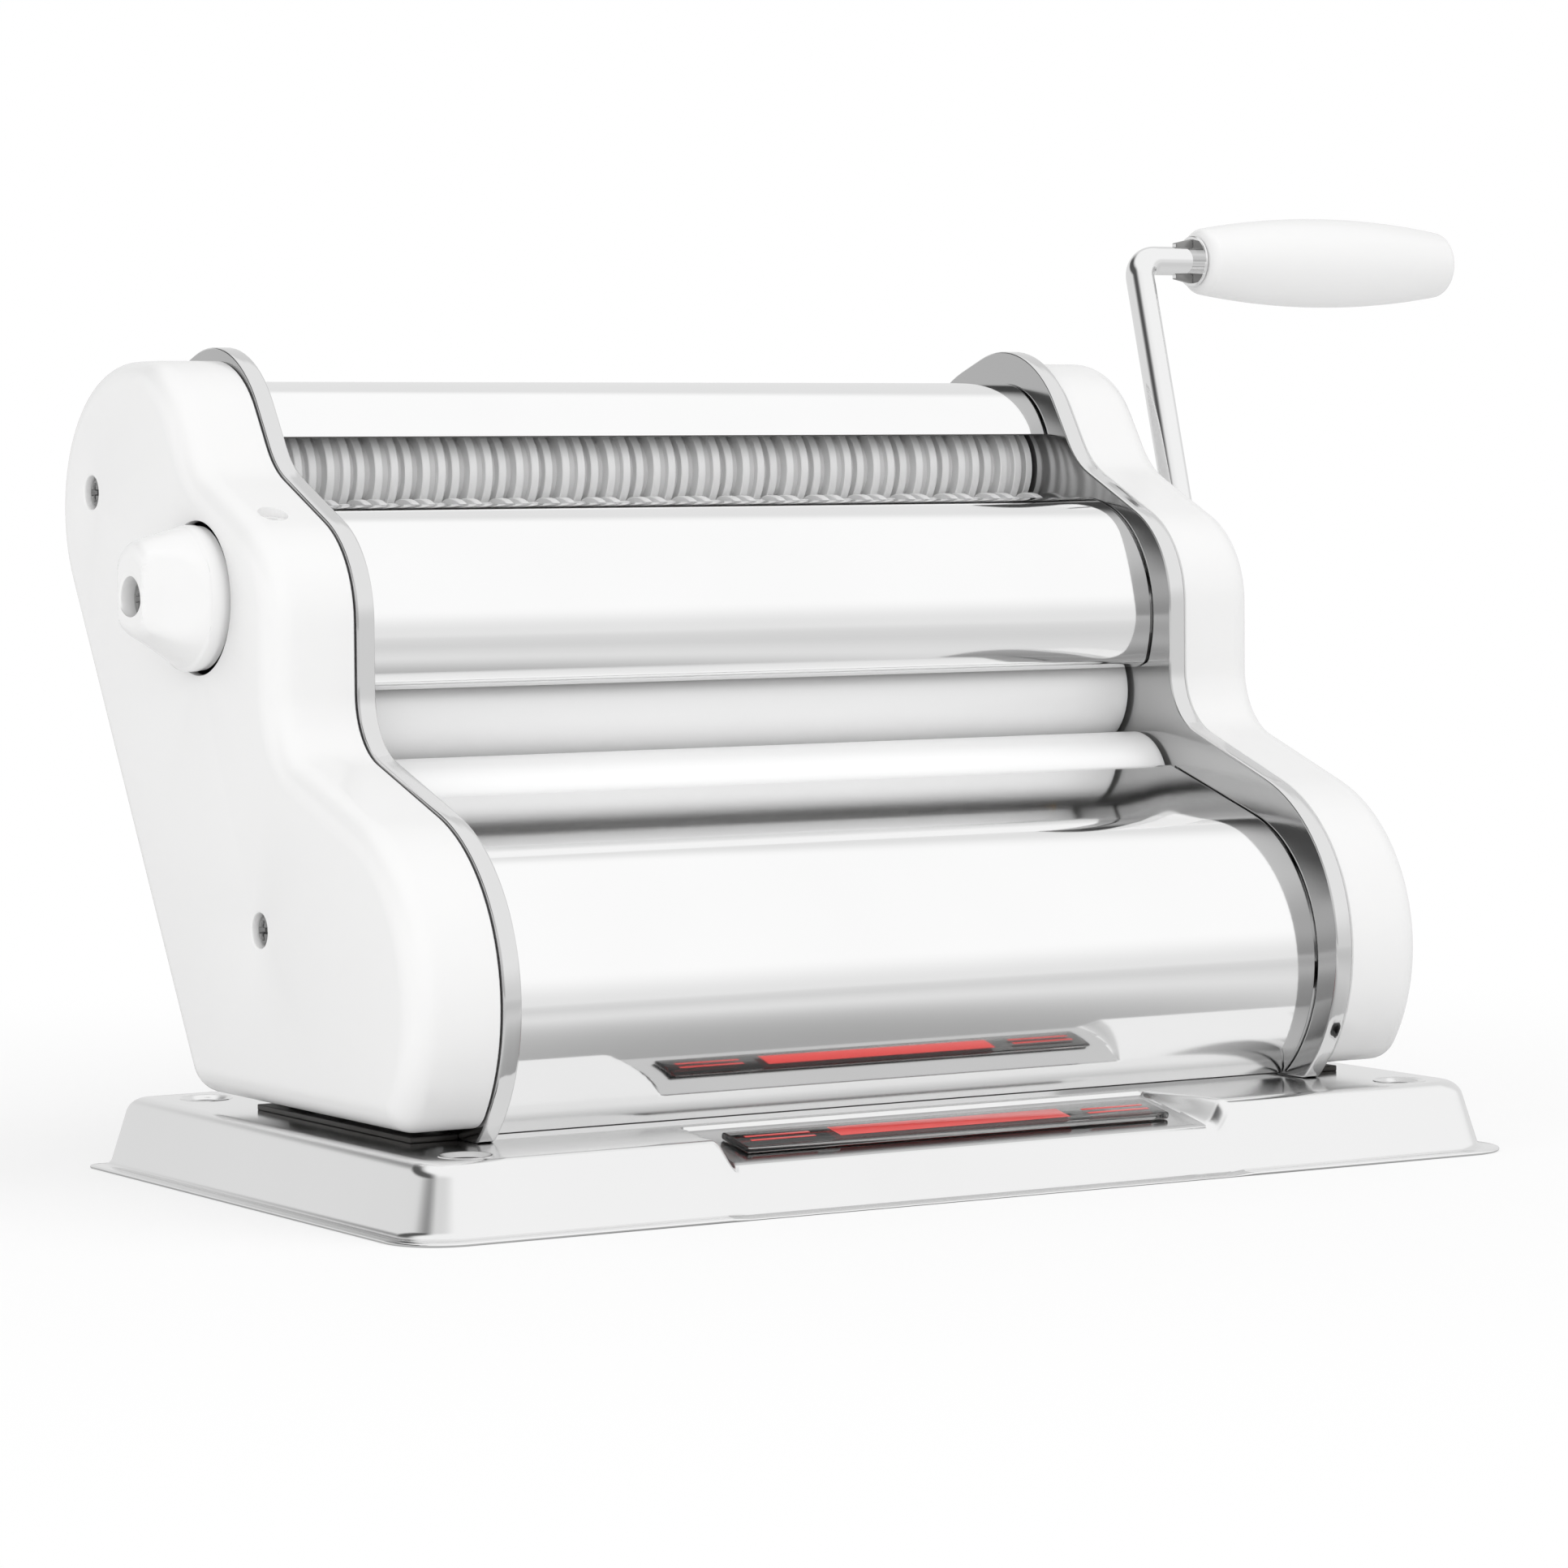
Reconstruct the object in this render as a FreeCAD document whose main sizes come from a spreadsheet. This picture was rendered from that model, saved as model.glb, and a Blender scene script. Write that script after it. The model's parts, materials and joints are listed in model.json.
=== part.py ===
import FreeCAD, Part
import math
import os
import re
from types import SimpleNamespace

import Sketcher

# Driving dimensions in millimetres and degrees, X along the rollers, -Y to the front, +Z up
DRIVING = [
    # Base tray and its feet
    ("tray_margin", 14.5), ("tray_width", 200), ("tray_height", 20), ("flange_width", 7.5),
    ("flange_corner", 16), ("flange_back", 3), ("tray_corner", 10), ("tray_back", 6), ("tray_round", 5),
    ("sheet_thick", 1),
    ("hole_inset_x", 19.5), ("hole_inset_y", 14.5), ("hole_radius", 2.75), ("foot_radius", 8),
    ("recess_back", 74), ("recess_front", 84), ("recess_floor", 76), ("recess_drop", 9),
    ("recess_reach", 34.5), ("recess_step", 1), ("badge_length", 136), ("badge_width", 14),
    ("badge_thick", 2), ("badge_gap", 0.2), ("badge_inset", 11.5),
    # Side plates and covers
    ("side_gap", 1), ("plate_thick", 5.5), ("cover_depth", 25.7), ("cover_wall", 2.5),
    ("cover_round", 8), ("cover_inset", 0.6), ("cover_lift", 4.1), ("seam", 0.3), ("crest_radius", 30),
    ("bump_y", -23.2), ("bump_z", 57), ("bump_radius", 51), ("bench_slope", 19.5),
    ("throat_radius", 19), ("brow_y", 37.2), ("brow_z", 154.8), ("brow_radius", 30),
    ("brow_slope", 25), ("saddle_radius", 25), ("hump_y", 97), ("hump_z", 196),
    ("hump_radius", 34.7), ("hump_slope", 57), ("back_y", 105), ("back_z", 184.3),
    ("back_radius", 43.1), ("back_lean", 30), ("heel_radius", 11), ("toe_radius", 9),
    # Smooth rollers and the line that all four roller axes lie on
    ("roller_length", 260), ("roller_radius", 16.4), ("roller_y", 43.4), ("roller_z", 128.5),
    ("line_lean", 36), ("gap_open", 2.4), ("gap_travel", 2.2), ("journal_radius", 7),
    ("bush_wall", 3), ("run_clearance", 0.05), ("slot_clearance", 0.6),
    # Cutters
    ("cutter_y", 91.5), ("cutter_z", 195), ("cutter_radius", 14.3), ("floor_radius", 11.8),
    ("rib_radius", 12.9), ("groove_radius", 13), ("cutter_period", 15.2), ("ring_width", 7.5),
    ("land_width", 2.45), ("rib_width", 2.5), ("cutter_journal", 5),
    # Gear train
    ("deep_teeth", 11), ("fine_module", 1.5), ("drive_teeth", 22),
    ("idler_teeth", 38), ("cutter_teeth", 18), ("deep_width", 5.5), ("fine_width", 6.5),
    ("gear_gap", 1.5), ("deep_thin", 0.35), ("fine_thin", 0.16), ("deep_addendum", 0.8),
    ("fine_addendum", 1), ("dedendum", 1.25), ("pressure_angle", 20), ("idler_pin_radius", 3.5),
    ("idler_journal", 3), ("clip_thick", 1), ("clip_radius", 5.5),
    # Gap regulator
    ("knob_y", 53), ("knob_z", 161), ("spindle_radius", 5), ("cam_low", 9.2), ("cam_turn", 270),
    ("cam_lead", 15), ("cam_thick", 2.8), ("cam_gap", 0.05), ("window_half", 12.5),
    ("link_thick", 2.8), ("link_gap", 0.4), ("link_rim", 16), ("link_head", 17),
    ("knob_radius", 20.1), ("knob_nose", 15), ("knob_height", 19.7), ("knob_gap", 0.3),
    ("knob_skirt", 4), ("scoop_radius", 22), ("scoop_half", 8), ("knob_well", 5),
    ("well_depth", 6.3), ("spindle_seat", 9), ("knob_rim", 1.1),
    ("eyelet_radius", 4.2), ("eyelet_y", 31), ("eyelet_z", 182.2),
    # Guide sheets, scrapers and combs
    ("sheet_end_gap", 0.3), ("apron_y", -22), ("apron_z", 54), ("apron_radius", 42.6),
    ("apron_slope", 17), ("apron_length", 42.2), ("apron_foot", 231.5), ("fascia_y", 51.2),
    ("fascia_z", 151), ("fascia_radius", 35), ("fascia_low", 201.2), ("lip_radius", 3),
    ("lip_length", 3), ("lip_turn", 50), ("hood_y", 95.5), ("hood_z", 195.5), ("hood_radius", 25.5),
    ("hood_front", 157.6), ("hood_rear", 10), ("chute_thick", 1.2), ("chute_drop", 22),
    ("chute_near", 22), ("chute_far", 62), ("scraper_thick", 1.5),
    ("scraper_width", 14), ("scraper_gap", 0.3), ("comb_bar", 6), ("comb_reach", 3.5),
    ("comb_gap", 0.4), ("finger_width", 6.3),
    # Crank and grip
    ("rod_radius", 4.5), ("crank_reach", 142.4), ("crank_lean", 23.1), ("crank_bend", 7),
    ("crank_flare", 13.5), ("arm_offset", 8), ("stub_proud", 1.5), ("socket_depth", 14), ("grip_start", 43.5),
    ("grip_length", 97), ("grip_mid", 14.1), ("grip_end", 10), ("grip_cap", 4),
    ("washer_radius", 8), ("washer_thick", 1.2), ("washer_gap", 0.3), ("clip_room", 1.5),
    # Fasteners
    ("tie_radius", 4), ("screw_radius", 2), ("screw_head", 3.8), ("head_height", 2.2),
    ("screw_length", 12), ("boss_radius", 4.7), ("boss_seat", 4.2), ("bar_thick", 1.6),
    ("bar_width", 14), ("bar_length", 92), ("nut_radius", 4), ("nut_thick", 3),
    ("front_tie_y", -48), ("front_tie_z", 48), ("rear_tie_y", 48), ("rear_tie_z", 45),
    ("bench_tie_y", -35), ("bench_tie_z", 80), ("hood_tie_y", 113), ("hood_tie_z", 201),
    ("high_screw_y", 122.8), ("high_screw_z", 189.9), ("low_screw_y", 16.4), ("low_screw_z", 72),
    ("front_bar_screw", -34), ("rear_bar_screw", 30),
]

doc = FreeCAD.newDocument("pasta_roller")
sheet = doc.addObject("Spreadsheet::Sheet", "Sizes")
for row, (alias, value) in enumerate(DRIVING, start=1):
    cell = f"A{row}"
    sheet.set(cell, str(value))
    sheet.setAlias(cell, alias)
doc.recompute()
s = SimpleNamespace(**{alias: float(sheet.get(alias)) for alias, _ in DRIVING})

NODES = []
ALONG_X = FreeCAD.Rotation(FreeCAD.Vector(0, 1, 0), 90)
UPRIGHT = FreeCAD.Rotation()
SIDES = ((-1, "left"), (1, "right"))
TOUCH = 1e-6
OVERCUT = 1
PLATE_GAP = "roller_length + 2 * side_gap"
PLATE_TO_COVER = "plate_thick + seam + cover_depth"
PLATE_TO_LINK = "plate_thick + link_gap + link_thick"
PLATE_TO_GEAR = PLATE_TO_LINK + " + gear_gap + deep_width"
TRAY_LENGTH = f"{PLATE_GAP} + 2 * ({PLATE_TO_COVER} + tray_margin)"


# Small helpers that bind document objects to the sheet
def cells(formula):
    return re.sub(r"[a-z][a-z_]+", r"Sizes.\g<0>", formula)


def bind(obj, **links):
    for name, formula in links.items():
        obj.setExpression(name, cells(formula))
    return obj


def node(obj, label):
    obj.Label = label
    NODES.append(obj)
    return obj


def place(obj, x, y, z, rotation=UPRIGHT):
    obj.Placement = FreeCAD.Placement(FreeCAD.Vector(x, y, z), rotation)
    return obj


def rod(name, radius, length, x, y, z, rotation=ALONG_X):
    cylinder = doc.addObject("Part::Cylinder", name)
    bind(cylinder, Radius=radius, Height=length)
    return place(cylinder, x, y, z, rotation)


def cut(name, base, *tools):
    result = doc.addObject("Part::Cut", name)
    result.Base = base
    result.Tool = tools[0] if len(tools) == 1 else fuse(name + "_tools", *tools)
    return result


def fuse(name, *pieces):
    result = doc.addObject("Part::MultiFuse", name)
    result.Shapes = list(pieces)
    return result


def group(name, pieces):
    result = doc.addObject("Part::Compound", name)
    result.Links = list(pieces)
    return result


def feature(name, shape):
    result = doc.addObject("Part::Feature", name)
    result.Shape = shape
    return result


def extruded(name, face, length, x):
    solid = doc.addObject("Part::Extrusion", name)
    solid.Base = feature(name + "_profile", face)
    solid.DirMode = "Custom"
    solid.Dir = FreeCAD.Vector(1, 0, 0)
    solid.Solid = True
    bind(solid, LengthFwd=length)
    return place(solid, x, 0, 0)


def filleted(name, base, radius, keep):
    doc.recompute()
    result = doc.addObject("Part::Fillet", name)
    result.Base = base
    picked = [(i, edge) for i, edge in enumerate(base.Shape.Edges, start=1) if keep(edge)]
    sized = radius if callable(radius) else lambda edge: radius
    result.Edges = [(i, sized(edge), sized(edge)) for i, edge in picked]
    return result


def plane_of(body, role):
    return next(f for f in body.Origin.OriginFeatures if f.Role == role)


def new_sketch(body, role):
    sketch = body.newObject("Sketcher::SketchObject", body.Name + "_sketch")
    sketch.AttachmentSupport = [(plane_of(body, role), "")]
    sketch.MapMode = "FlatFace"
    return sketch


def ring(name, outer, inner, length, x, y, z, rotation=ALONG_X):
    body = doc.addObject("PartDesign::Body", name)
    sketch = new_sketch(body, "XY_Plane")
    up = FreeCAD.Vector(0, 0, 1)
    for index, formula in enumerate((outer, inner)):
        sketch.addGeometry(Part.Circle(FreeCAD.Vector(), up, index + 1), False)
        sketch.addConstraint(Sketcher.Constraint("Coincident", index, 3, -1, 1))
        row = sketch.addConstraint(Sketcher.Constraint("Radius", index, index + 1))
        sketch.setExpression(f"Constraints[{row}]", cells(formula))
    pad = body.newObject("PartDesign::Pad", name + "_pad")
    pad.Profile = sketch
    bind(pad, Length=length)
    return place(body, x, y, z, rotation)


def turned(name, points, x, y, z, arcs=()):
    body = doc.addObject("PartDesign::Body", name)
    sketch = new_sketch(body, "XZ_Plane")
    corners = [FreeCAD.Vector(along, radius, 0) for along, radius in points]
    for index, start in enumerate(corners):
        end = corners[(index + 1) % len(corners)]
        crown = dict(arcs).get(index)
        if crown is None:
            sketch.addGeometry(Part.LineSegment(start, end), False)
        else:
            sketch.addGeometry(Part.Arc(start, FreeCAD.Vector(crown[0], crown[1], 0), end), False)
    spin = body.newObject("PartDesign::Revolution", name + "_turn")
    spin.Profile = sketch
    spin.ReferenceAxis = (sketch, ["H_Axis"])
    spin.Angle = 360
    return place(body, x, y, z)


# Outlines in the YZ plane
def vec(y, z, x=0.0):
    return FreeCAD.Vector(x, y, z)


def polar(centre, radius, degrees):
    a = math.radians(degrees)
    return (centre[0] + radius * math.cos(a), centre[1] + radius * math.sin(a))


def circle_wire(centre, radius):
    return Part.Wire(Part.Circle(vec(*centre), vec(0, 0, 1), radius).toShape())


def holed(wires):
    return Part.makeFace(wires, "Part::FaceMakerBullseye")


def belt(circles, inset=0.0):
    """A closed outline run clockwise round circles (y, z, radius), negative radii on the inside."""
    rounds = [(y, z, r - inset) for y, z, r in circles]
    count = len(rounds)
    normals = []
    for i in range(count):
        y1, z1, r1 = rounds[i]
        y2, z2, r2 = rounds[(i + 1) % count]
        dy, dz = y2 - y1, z2 - z1
        far = math.hypot(dy, dz)
        lean = max(-1.0, min(1.0, (r1 - r2) / far))
        rise = math.sqrt(1 - lean * lean)
        normals.append(((lean * dy - rise * dz) / far, (lean * dz + rise * dy) / far))
    edges = []
    for i in range(count):
        y, z, r = rounds[i]
        before, after = normals[i - 1], normals[i]
        first, last = math.atan2(before[1], before[0]), math.atan2(after[1], after[0])
        way = -1 if r > 0 else 1
        middle = first + way * (way * (last - first) % (2 * math.pi)) / 2
        start = vec(y + r * before[0], z + r * before[1])
        crown = vec(y + r * math.cos(middle), z + r * math.sin(middle))
        end = vec(y + r * after[0], z + r * after[1])
        edges.append(Part.Arc(start, crown, end).toShape())
        y2, z2, r2 = rounds[(i + 1) % count]
        nxt = vec(y2 + r2 * after[0], z2 + r2 * after[1])
        if end.distanceToPoint(nxt) > TOUCH:
            edges.append(Part.LineSegment(end, nxt).toShape())
    return Part.Wire(Part.__sortEdges__(edges))


def strip(steps, thick):
    """A bent sheet's section: lines (start, end) and arcs (centre, radius, from, to) on its outside."""
    outer, inner = [], []
    for step in steps:
        if len(step) == 2:
            (y1, z1), (y2, z2) = step
            far = math.hypot(y2 - y1, z2 - z1)
            ny, nz = (z2 - z1) / far * thick, -(y2 - y1) / far * thick
            outer.append((vec(y1, z1), None, vec(y2, z2)))
            inner.append((vec(y1 + ny, z1 + nz), None, vec(y2 + ny, z2 + nz)))
        else:
            centre, radius, a, b = step
            side = -thick if b < a else thick
            for rows, r in ((outer, radius), (inner, radius + side)):
                rows.append(tuple(vec(*polar(centre, r, t)) for t in (a, (a + b) / 2, b)))
    edges = []
    for start, crown, end in outer + inner:
        line = Part.LineSegment(start, end) if crown is None else Part.Arc(start, crown, end)
        edges.append(line.toShape())
    edges.append(Part.LineSegment(outer[0][0], inner[0][0]).toShape())
    edges.append(Part.LineSegment(outer[-1][2], inner[-1][2]).toShape())
    return Part.Face(Part.Wire(Part.__sortEdges__(edges)))


FLANK_STEPS = 4


def gear_face(centre, teeth, module, thin, phase, bore, addendum):
    """An involute gear with a bore; thin is taken off each tooth, phase is a tooth's angle in radians."""
    pressure = math.radians(s.pressure_angle)
    pitch = teeth * module / 2
    base = pitch * math.cos(pressure)
    tip, root = pitch + addendum * module, pitch - s.dedendum * module
    half = math.pi / (2 * teeth) - thin / (2 * pitch) + math.tan(pressure) - pressure
    flank = []
    for step in range(FLANK_STEPS + 1):
        r = max(base, root) + (tip - max(base, root)) * step / FLANK_STEPS
        roll = math.acos(min(1.0, base / r))
        flank.append((r, half - (math.tan(roll) - roll)))
    rise = [(root, flank[0][1])] + flank if root < base else flank
    points = []
    for tooth in range(int(teeth)):
        middle = phase + 2 * math.pi * tooth / teeth
        for r, a in rise:
            points.append(polar(centre, r, math.degrees(middle - a)))
        for r, a in reversed(rise):
            points.append(polar(centre, r, math.degrees(middle + a)))
    corners = [vec(*p) for p in points]
    return holed([Part.makePolygon(corners + corners[:1]), circle_wire(centre, bore)])


def meshed(centre1, teeth1, phase1, centre2, teeth2):
    """The phase that puts a gap of the second gear on a tooth of the first."""
    toward = math.atan2(centre2[1] - centre1[1], centre2[0] - centre1[0])
    return toward + math.pi - (phase1 - toward) * teeth1 / teeth2 + math.pi / teeth2


# Places that several pieces share
along = (math.sin(math.radians(s.line_lean)), math.cos(math.radians(s.line_lean)))
across = (along[1], -along[0])


def shifted(point, up=0.0, out=0.0):
    return (point[0] + along[0] * up + across[0] * out, point[1] + along[1] * up + across[1] * out)


UPPER = (s.roller_y, s.roller_z)
LOWER = shifted(UPPER, -(2 * s.roller_radius + s.gap_open))
CUT_UPPER = (s.cutter_y, s.cutter_z)
CUT_LOWER = shifted(CUT_UPPER, -s.cutter_teeth * s.fine_module)
KNOB = (s.knob_y, s.knob_z)
plate_in = s.roller_length / 2 + s.side_gap
plate_out = plate_in + s.plate_thick
cover_in = plate_out + s.seam
cover_out = cover_in + s.cover_depth
bush_radius = s.journal_radius + s.run_clearance + s.bush_wall
cutter_bush = s.cutter_journal + s.run_clearance + s.bush_wall
link_in = plate_out + s.link_gap
deep_x = link_in + s.link_thick + s.gear_gap
fine_x = deep_x + s.deep_width + s.gear_gap
deep_module = (2 * s.roller_radius + s.gap_open - s.gap_travel) / s.deep_teeth
reach_driver = (s.drive_teeth + s.idler_teeth) * s.fine_module / 2
reach_cutter = (s.idler_teeth + s.cutter_teeth) * s.fine_module / 2
span = math.hypot(CUT_UPPER[0] - UPPER[0], CUT_UPPER[1] - UPPER[1])
foot_of = (reach_driver ** 2 - reach_cutter ** 2 + span ** 2) / (2 * span)
heading = ((CUT_UPPER[0] - UPPER[0]) / span, (CUT_UPPER[1] - UPPER[1]) / span)
bulge = math.sqrt(reach_driver ** 2 - foot_of ** 2)
IDLER = (UPPER[0] + heading[0] * foot_of + heading[1] * bulge,
         UPPER[1] + heading[1] * foot_of - heading[0] * bulge)
TIES = [(s.front_tie_y, s.front_tie_z), (s.rear_tie_y, s.rear_tie_z),
        (s.bench_tie_y, s.bench_tie_z), (s.hood_tie_y, s.hood_tie_z)]
COVER_SCREWS = [(s.high_screw_y, s.high_screw_z), (s.low_screw_y, s.low_screw_z)]
BAR_SCREWS = [s.front_bar_screw, s.rear_bar_screw]


# Side plate and cover outlines, as circles that the edge runs round
def facing(slope):
    return (-math.sin(math.radians(slope)), math.cos(math.radians(slope)))


def toe(radius, floor, bump):
    z = floor + radius
    return (s.bump_y - math.sqrt((bump - radius) ** 2 - (z - s.bump_z) ** 2), z, radius)


def heel(radius, floor, back):
    z = floor + radius
    ny, nz = math.cos(math.radians(s.back_lean)), -math.sin(math.radians(s.back_lean))
    return (s.back_y + (back - radius - (z - s.back_z) * nz) / ny, z, radius)


bench, brow, hump = facing(s.bench_slope), facing(s.brow_slope), facing(s.hump_slope)
throat_y = s.brow_y - s.brow_radius - s.throat_radius
throat_z = s.bump_z + (s.bump_radius + s.throat_radius - (throat_y - s.bump_y) * bench[0]) / bench[1]
brow_line = s.brow_y * brow[0] + s.brow_z * brow[1] + s.brow_radius + s.saddle_radius
hump_line = s.hump_y * hump[0] + s.hump_z * hump[1] + s.hump_radius + s.saddle_radius
turn = brow[0] * hump[1] - brow[1] * hump[0]
saddle_y = (brow_line * hump[1] - hump_line * brow[1]) / turn
saddle_z = (hump_line * brow[0] - brow_line * hump[0]) / turn
front_edge = [(s.bump_y, s.bump_z, s.bump_radius), (throat_y, throat_z, -s.throat_radius),
              (s.brow_y, s.brow_z, s.brow_radius), (saddle_y, saddle_z, -s.saddle_radius)]
plate_edge = [toe(s.heel_radius / 4, s.tray_height, s.bump_radius)] + front_edge + [
    (s.hump_y, s.hump_z, s.hump_radius), (s.back_y, s.back_z, s.back_radius),
    heel(s.heel_radius, s.tray_height, s.back_radius)]

cover_floor = s.tray_height + s.cover_lift
back_inset = s.back_radius - s.cover_inset
crest_z = s.back_z + back_inset - s.crest_radius
crest_reach = s.hump_radius - s.cover_inset - s.crest_radius - (crest_z - s.hump_z) * hump[1]
cover_edge = [toe(s.toe_radius, cover_floor, s.bump_radius - s.cover_inset)]
cover_edge += [(y, z, r - s.cover_inset) for y, z, r in front_edge]
cover_edge += [(s.hump_y + crest_reach / hump[0], crest_z, s.crest_radius),
               (s.back_y, s.back_z, back_inset),
               heel(s.heel_radius - s.cover_inset, cover_floor, back_inset)]


# Base tray: one pressed sheet with a flat flange and a sloping recess at the front
def upright_edge(edge):
    return abs(edge.tangentAt(edge.FirstParameter).z) > 0.99


def corner(front, back):
    return lambda edge: front if edge.BoundBox.YMin < 0 else back


def rim_edge(height):
    return lambda edge: edge.BoundBox.ZMin > height - TOUCH


def centred_box(name, length, width, height):
    block = doc.addObject("Part::Box", name)
    bind(block, Length=length, Width=width, Height=height)
    doc.recompute()
    return place(block, -block.Length.Value / 2, -block.Width.Value / 2, 0)


def recess(grow):
    top = s.tray_height + OVERCUT
    front, back = -s.tray_width / 2, -(s.tray_width / 2 - s.flange_width) + s.recess_reach + grow
    ends = []
    for y, low, half, half_top in (
            (back, s.recess_step, s.recess_back, s.recess_back),
            (front, s.recess_drop, s.recess_floor, s.recess_front)):
        z = s.tray_height - low - grow
        corners = [vec(y, z, -half - grow), vec(y, z, half + grow),
                   vec(y, top, half_top + grow), vec(y, top, -half_top - grow)]
        ends.append(Part.makePolygon(corners + corners[:1]))
    return Part.makeLoft(ends, True, True)


def pan(name, inside):
    trim = f" - 2 * {inside} * sheet_thick"
    block = centred_box(name + "_block", TRAY_LENGTH + " - 2 * flange_width" + trim,
                        "tray_width - 2 * flange_width" + trim, f"tray_height - {inside} * sheet_thick")
    skin = inside * s.sheet_thick
    walls = filleted(name + "_walls", block, corner(s.tray_corner - skin, s.tray_back - skin), upright_edge)
    return filleted(name, walls, s.tray_round - skin, rim_edge(s.tray_height - skin))


def holes(name, radius, length, places, z):
    return [rod(f"{name}_{i}", radius, length, x, y, z, UPRIGHT) for i, (x, y) in enumerate(places)]


hole_x = cover_out + s.tray_margin - s.flange_width - s.hole_inset_x
hole_y = s.tray_width / 2 - s.flange_width - s.hole_inset_y
corner_places = [(i * hole_x, j * hole_y) for i in (-1, 1) for j in (-1, 1)]
bar_x = plate_out + s.bar_width / 2
bar_places = [(side * bar_x, y) for side, _ in SIDES for y in BAR_SCREWS]
flange = filleted("tray_flange", centred_box("flange_block", TRAY_LENGTH, "tray_width", "sheet_thick"),
                  corner(s.flange_corner, s.flange_back), upright_edge)
pressed = cut("tray_pressed", fuse("tray_outside", pan("tray_shell", 0), flange),
              feature("tray_recess", recess(0.0)))
hollow = cut("tray_hollow", pan("tray_core", 1), feature("tray_recess_back", recess(s.sheet_thick)))
drill = "tray_height + sheet_thick"
tray_tools = holes("tray_hole", "hole_radius", drill, corner_places, 0)
tray_tools += holes("bar_hole", "screw_radius", drill, bar_places, 0)
node(cut("tray", pressed, hollow, *tray_tools), "base_tray")
feet = [ring(f"foot_{i}", "foot_radius", "hole_radius", "tray_height - sheet_thick", x, y, 0, UPRIGHT)
        for i, (x, y) in enumerate(corner_places)]
node(group("feet", feet), "rubber_feet")

# Clear plate lying on the recess floor
fall = s.recess_drop - s.recess_step
floor_run = s.recess_reach + s.flange_width
floor_tilt = math.degrees(math.atan2(fall, floor_run))
badge_y = -s.tray_width / 2 + s.flange_width + s.badge_inset
badge_z = s.tray_height - s.recess_drop + fall * (badge_y + s.tray_width / 2) / floor_run + s.badge_gap
badge = doc.addObject("Part::Box", "badge")
bind(badge, Length="badge_length", Width="badge_width", Height="badge_thick")
place(badge, -s.badge_length / 2, badge_y, badge_z,
      FreeCAD.Rotation(FreeCAD.Vector(1, 0, 0), floor_tilt))
node(badge, "badge_plate")

# Side plates, cut from sheet with holes for the bushes, slots for the moving journals and screw holes
spindle_bush = s.spindle_radius + s.run_clearance + s.bush_wall
lower_slot = s.journal_radius + s.slot_clearance


def slot_wire(centre, travel, radius):
    return belt([(*centre, radius), (*shifted(centre, travel), radius)])


for side, word in SIDES:
    wires = [belt(plate_edge), circle_wire(UPPER, bush_radius), slot_wire(LOWER, s.gap_travel, lower_slot)]
    wires += [circle_wire(c, cutter_bush) for c in (CUT_UPPER, CUT_LOWER)]
    wires += [circle_wire(KNOB, spindle_bush)]
    wires += [circle_wire(c, s.screw_radius) for c in TIES + COVER_SCREWS]
    if side > 0:
        wires.append(circle_wire(IDLER, s.idler_pin_radius))
    x = plate_in if side > 0 else -plate_out
    node(extruded(f"{word}_plate", holed(wires), "plate_thick", x), f"{word}_side_plate")

# Covers: hollow mouldings with screw bosses, rounded on their outer edge
for side, word in SIDES:
    x = cover_in if side > 0 else -cover_out
    skin = extruded(f"{word}_skin", Part.Face(belt(cover_edge)), "cover_depth", x)
    face_x = side * cover_out

    def outer_edge(edge, face_x=face_x):
        return abs(edge.BoundBox.XMin - face_x) < TOUCH and edge.BoundBox.XLength < TOUCH

    skin = filleted(f"{word}_skin_round", skin, s.cover_round, outer_edge)
    core_x = cover_in if side > 0 else -cover_out + s.cover_wall
    hollow_face = Part.Face(belt(cover_edge, s.cover_wall))
    core = extruded(f"{word}_core", hollow_face, "cover_depth - cover_wall", core_x)
    core_face = side * (cover_out - s.cover_wall)

    def inner_edge(edge, face_x=core_face):
        return abs(edge.BoundBox.XMin - face_x) < TOUCH and edge.BoundBox.XLength < TOUCH

    core = filleted(f"{word}_core_round", core, s.cover_round - s.cover_wall, inner_edge)
    bosses, wells = [], []
    for i, (y, z) in enumerate(COVER_SCREWS):
        bosses.append(rod(f"{word}_boss_{i}", "boss_radius", "cover_depth - cover_wall", core_x, y, z))
        seat_x = face_x - s.boss_seat if side > 0 else face_x
        wells.append(rod(f"{word}_well_{i}", "screw_head + screw_radius / 10", "boss_seat", seat_x, y, z))
        wells.append(rod(f"{word}_shank_{i}", "screw_radius", "cover_depth", x, y, z))
    if side > 0:
        wells.append(rod("stub_hole", "journal_radius + slot_clearance", "cover_depth", x, *UPPER))
    else:
        wells.append(rod("knob_hole", "knob_radius + knob_rim", "cover_depth", x, *KNOB))
        middle = -(cover_in + cover_out) / 2
        wells.append(rod("eyelet", "eyelet_radius", "cover_depth", middle, s.eyelet_y, s.eyelet_z, UPRIGHT))
    shell = cut(f"{word}_shell", skin, cut(f"{word}_cavity", core, *bosses))
    node(cut(f"{word}_cover_cut", shell, *wells), f"{word}_cover")

# Smooth rollers: the upper one runs in plate bushes, the lower one in the moving links
left_end = -(link_in + s.link_thick)
half_roller = s.roller_length / 2
stub_end = cover_out + s.stub_proud
deep_end = deep_x + s.deep_width


def roller(name, centre, right_run):
    barrel = rod(name + "_barrel", "roller_radius", "roller_length", -half_roller, *centre)
    left = rod(name + "_left_journal", "journal_radius", f"side_gap + {PLATE_TO_LINK}", left_end, *centre)
    right = rod(name + "_right_journal", "journal_radius", f"side_gap + {right_run}", half_roller, *centre)
    return fuse(name + "_turned", barrel, left, right)


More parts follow.
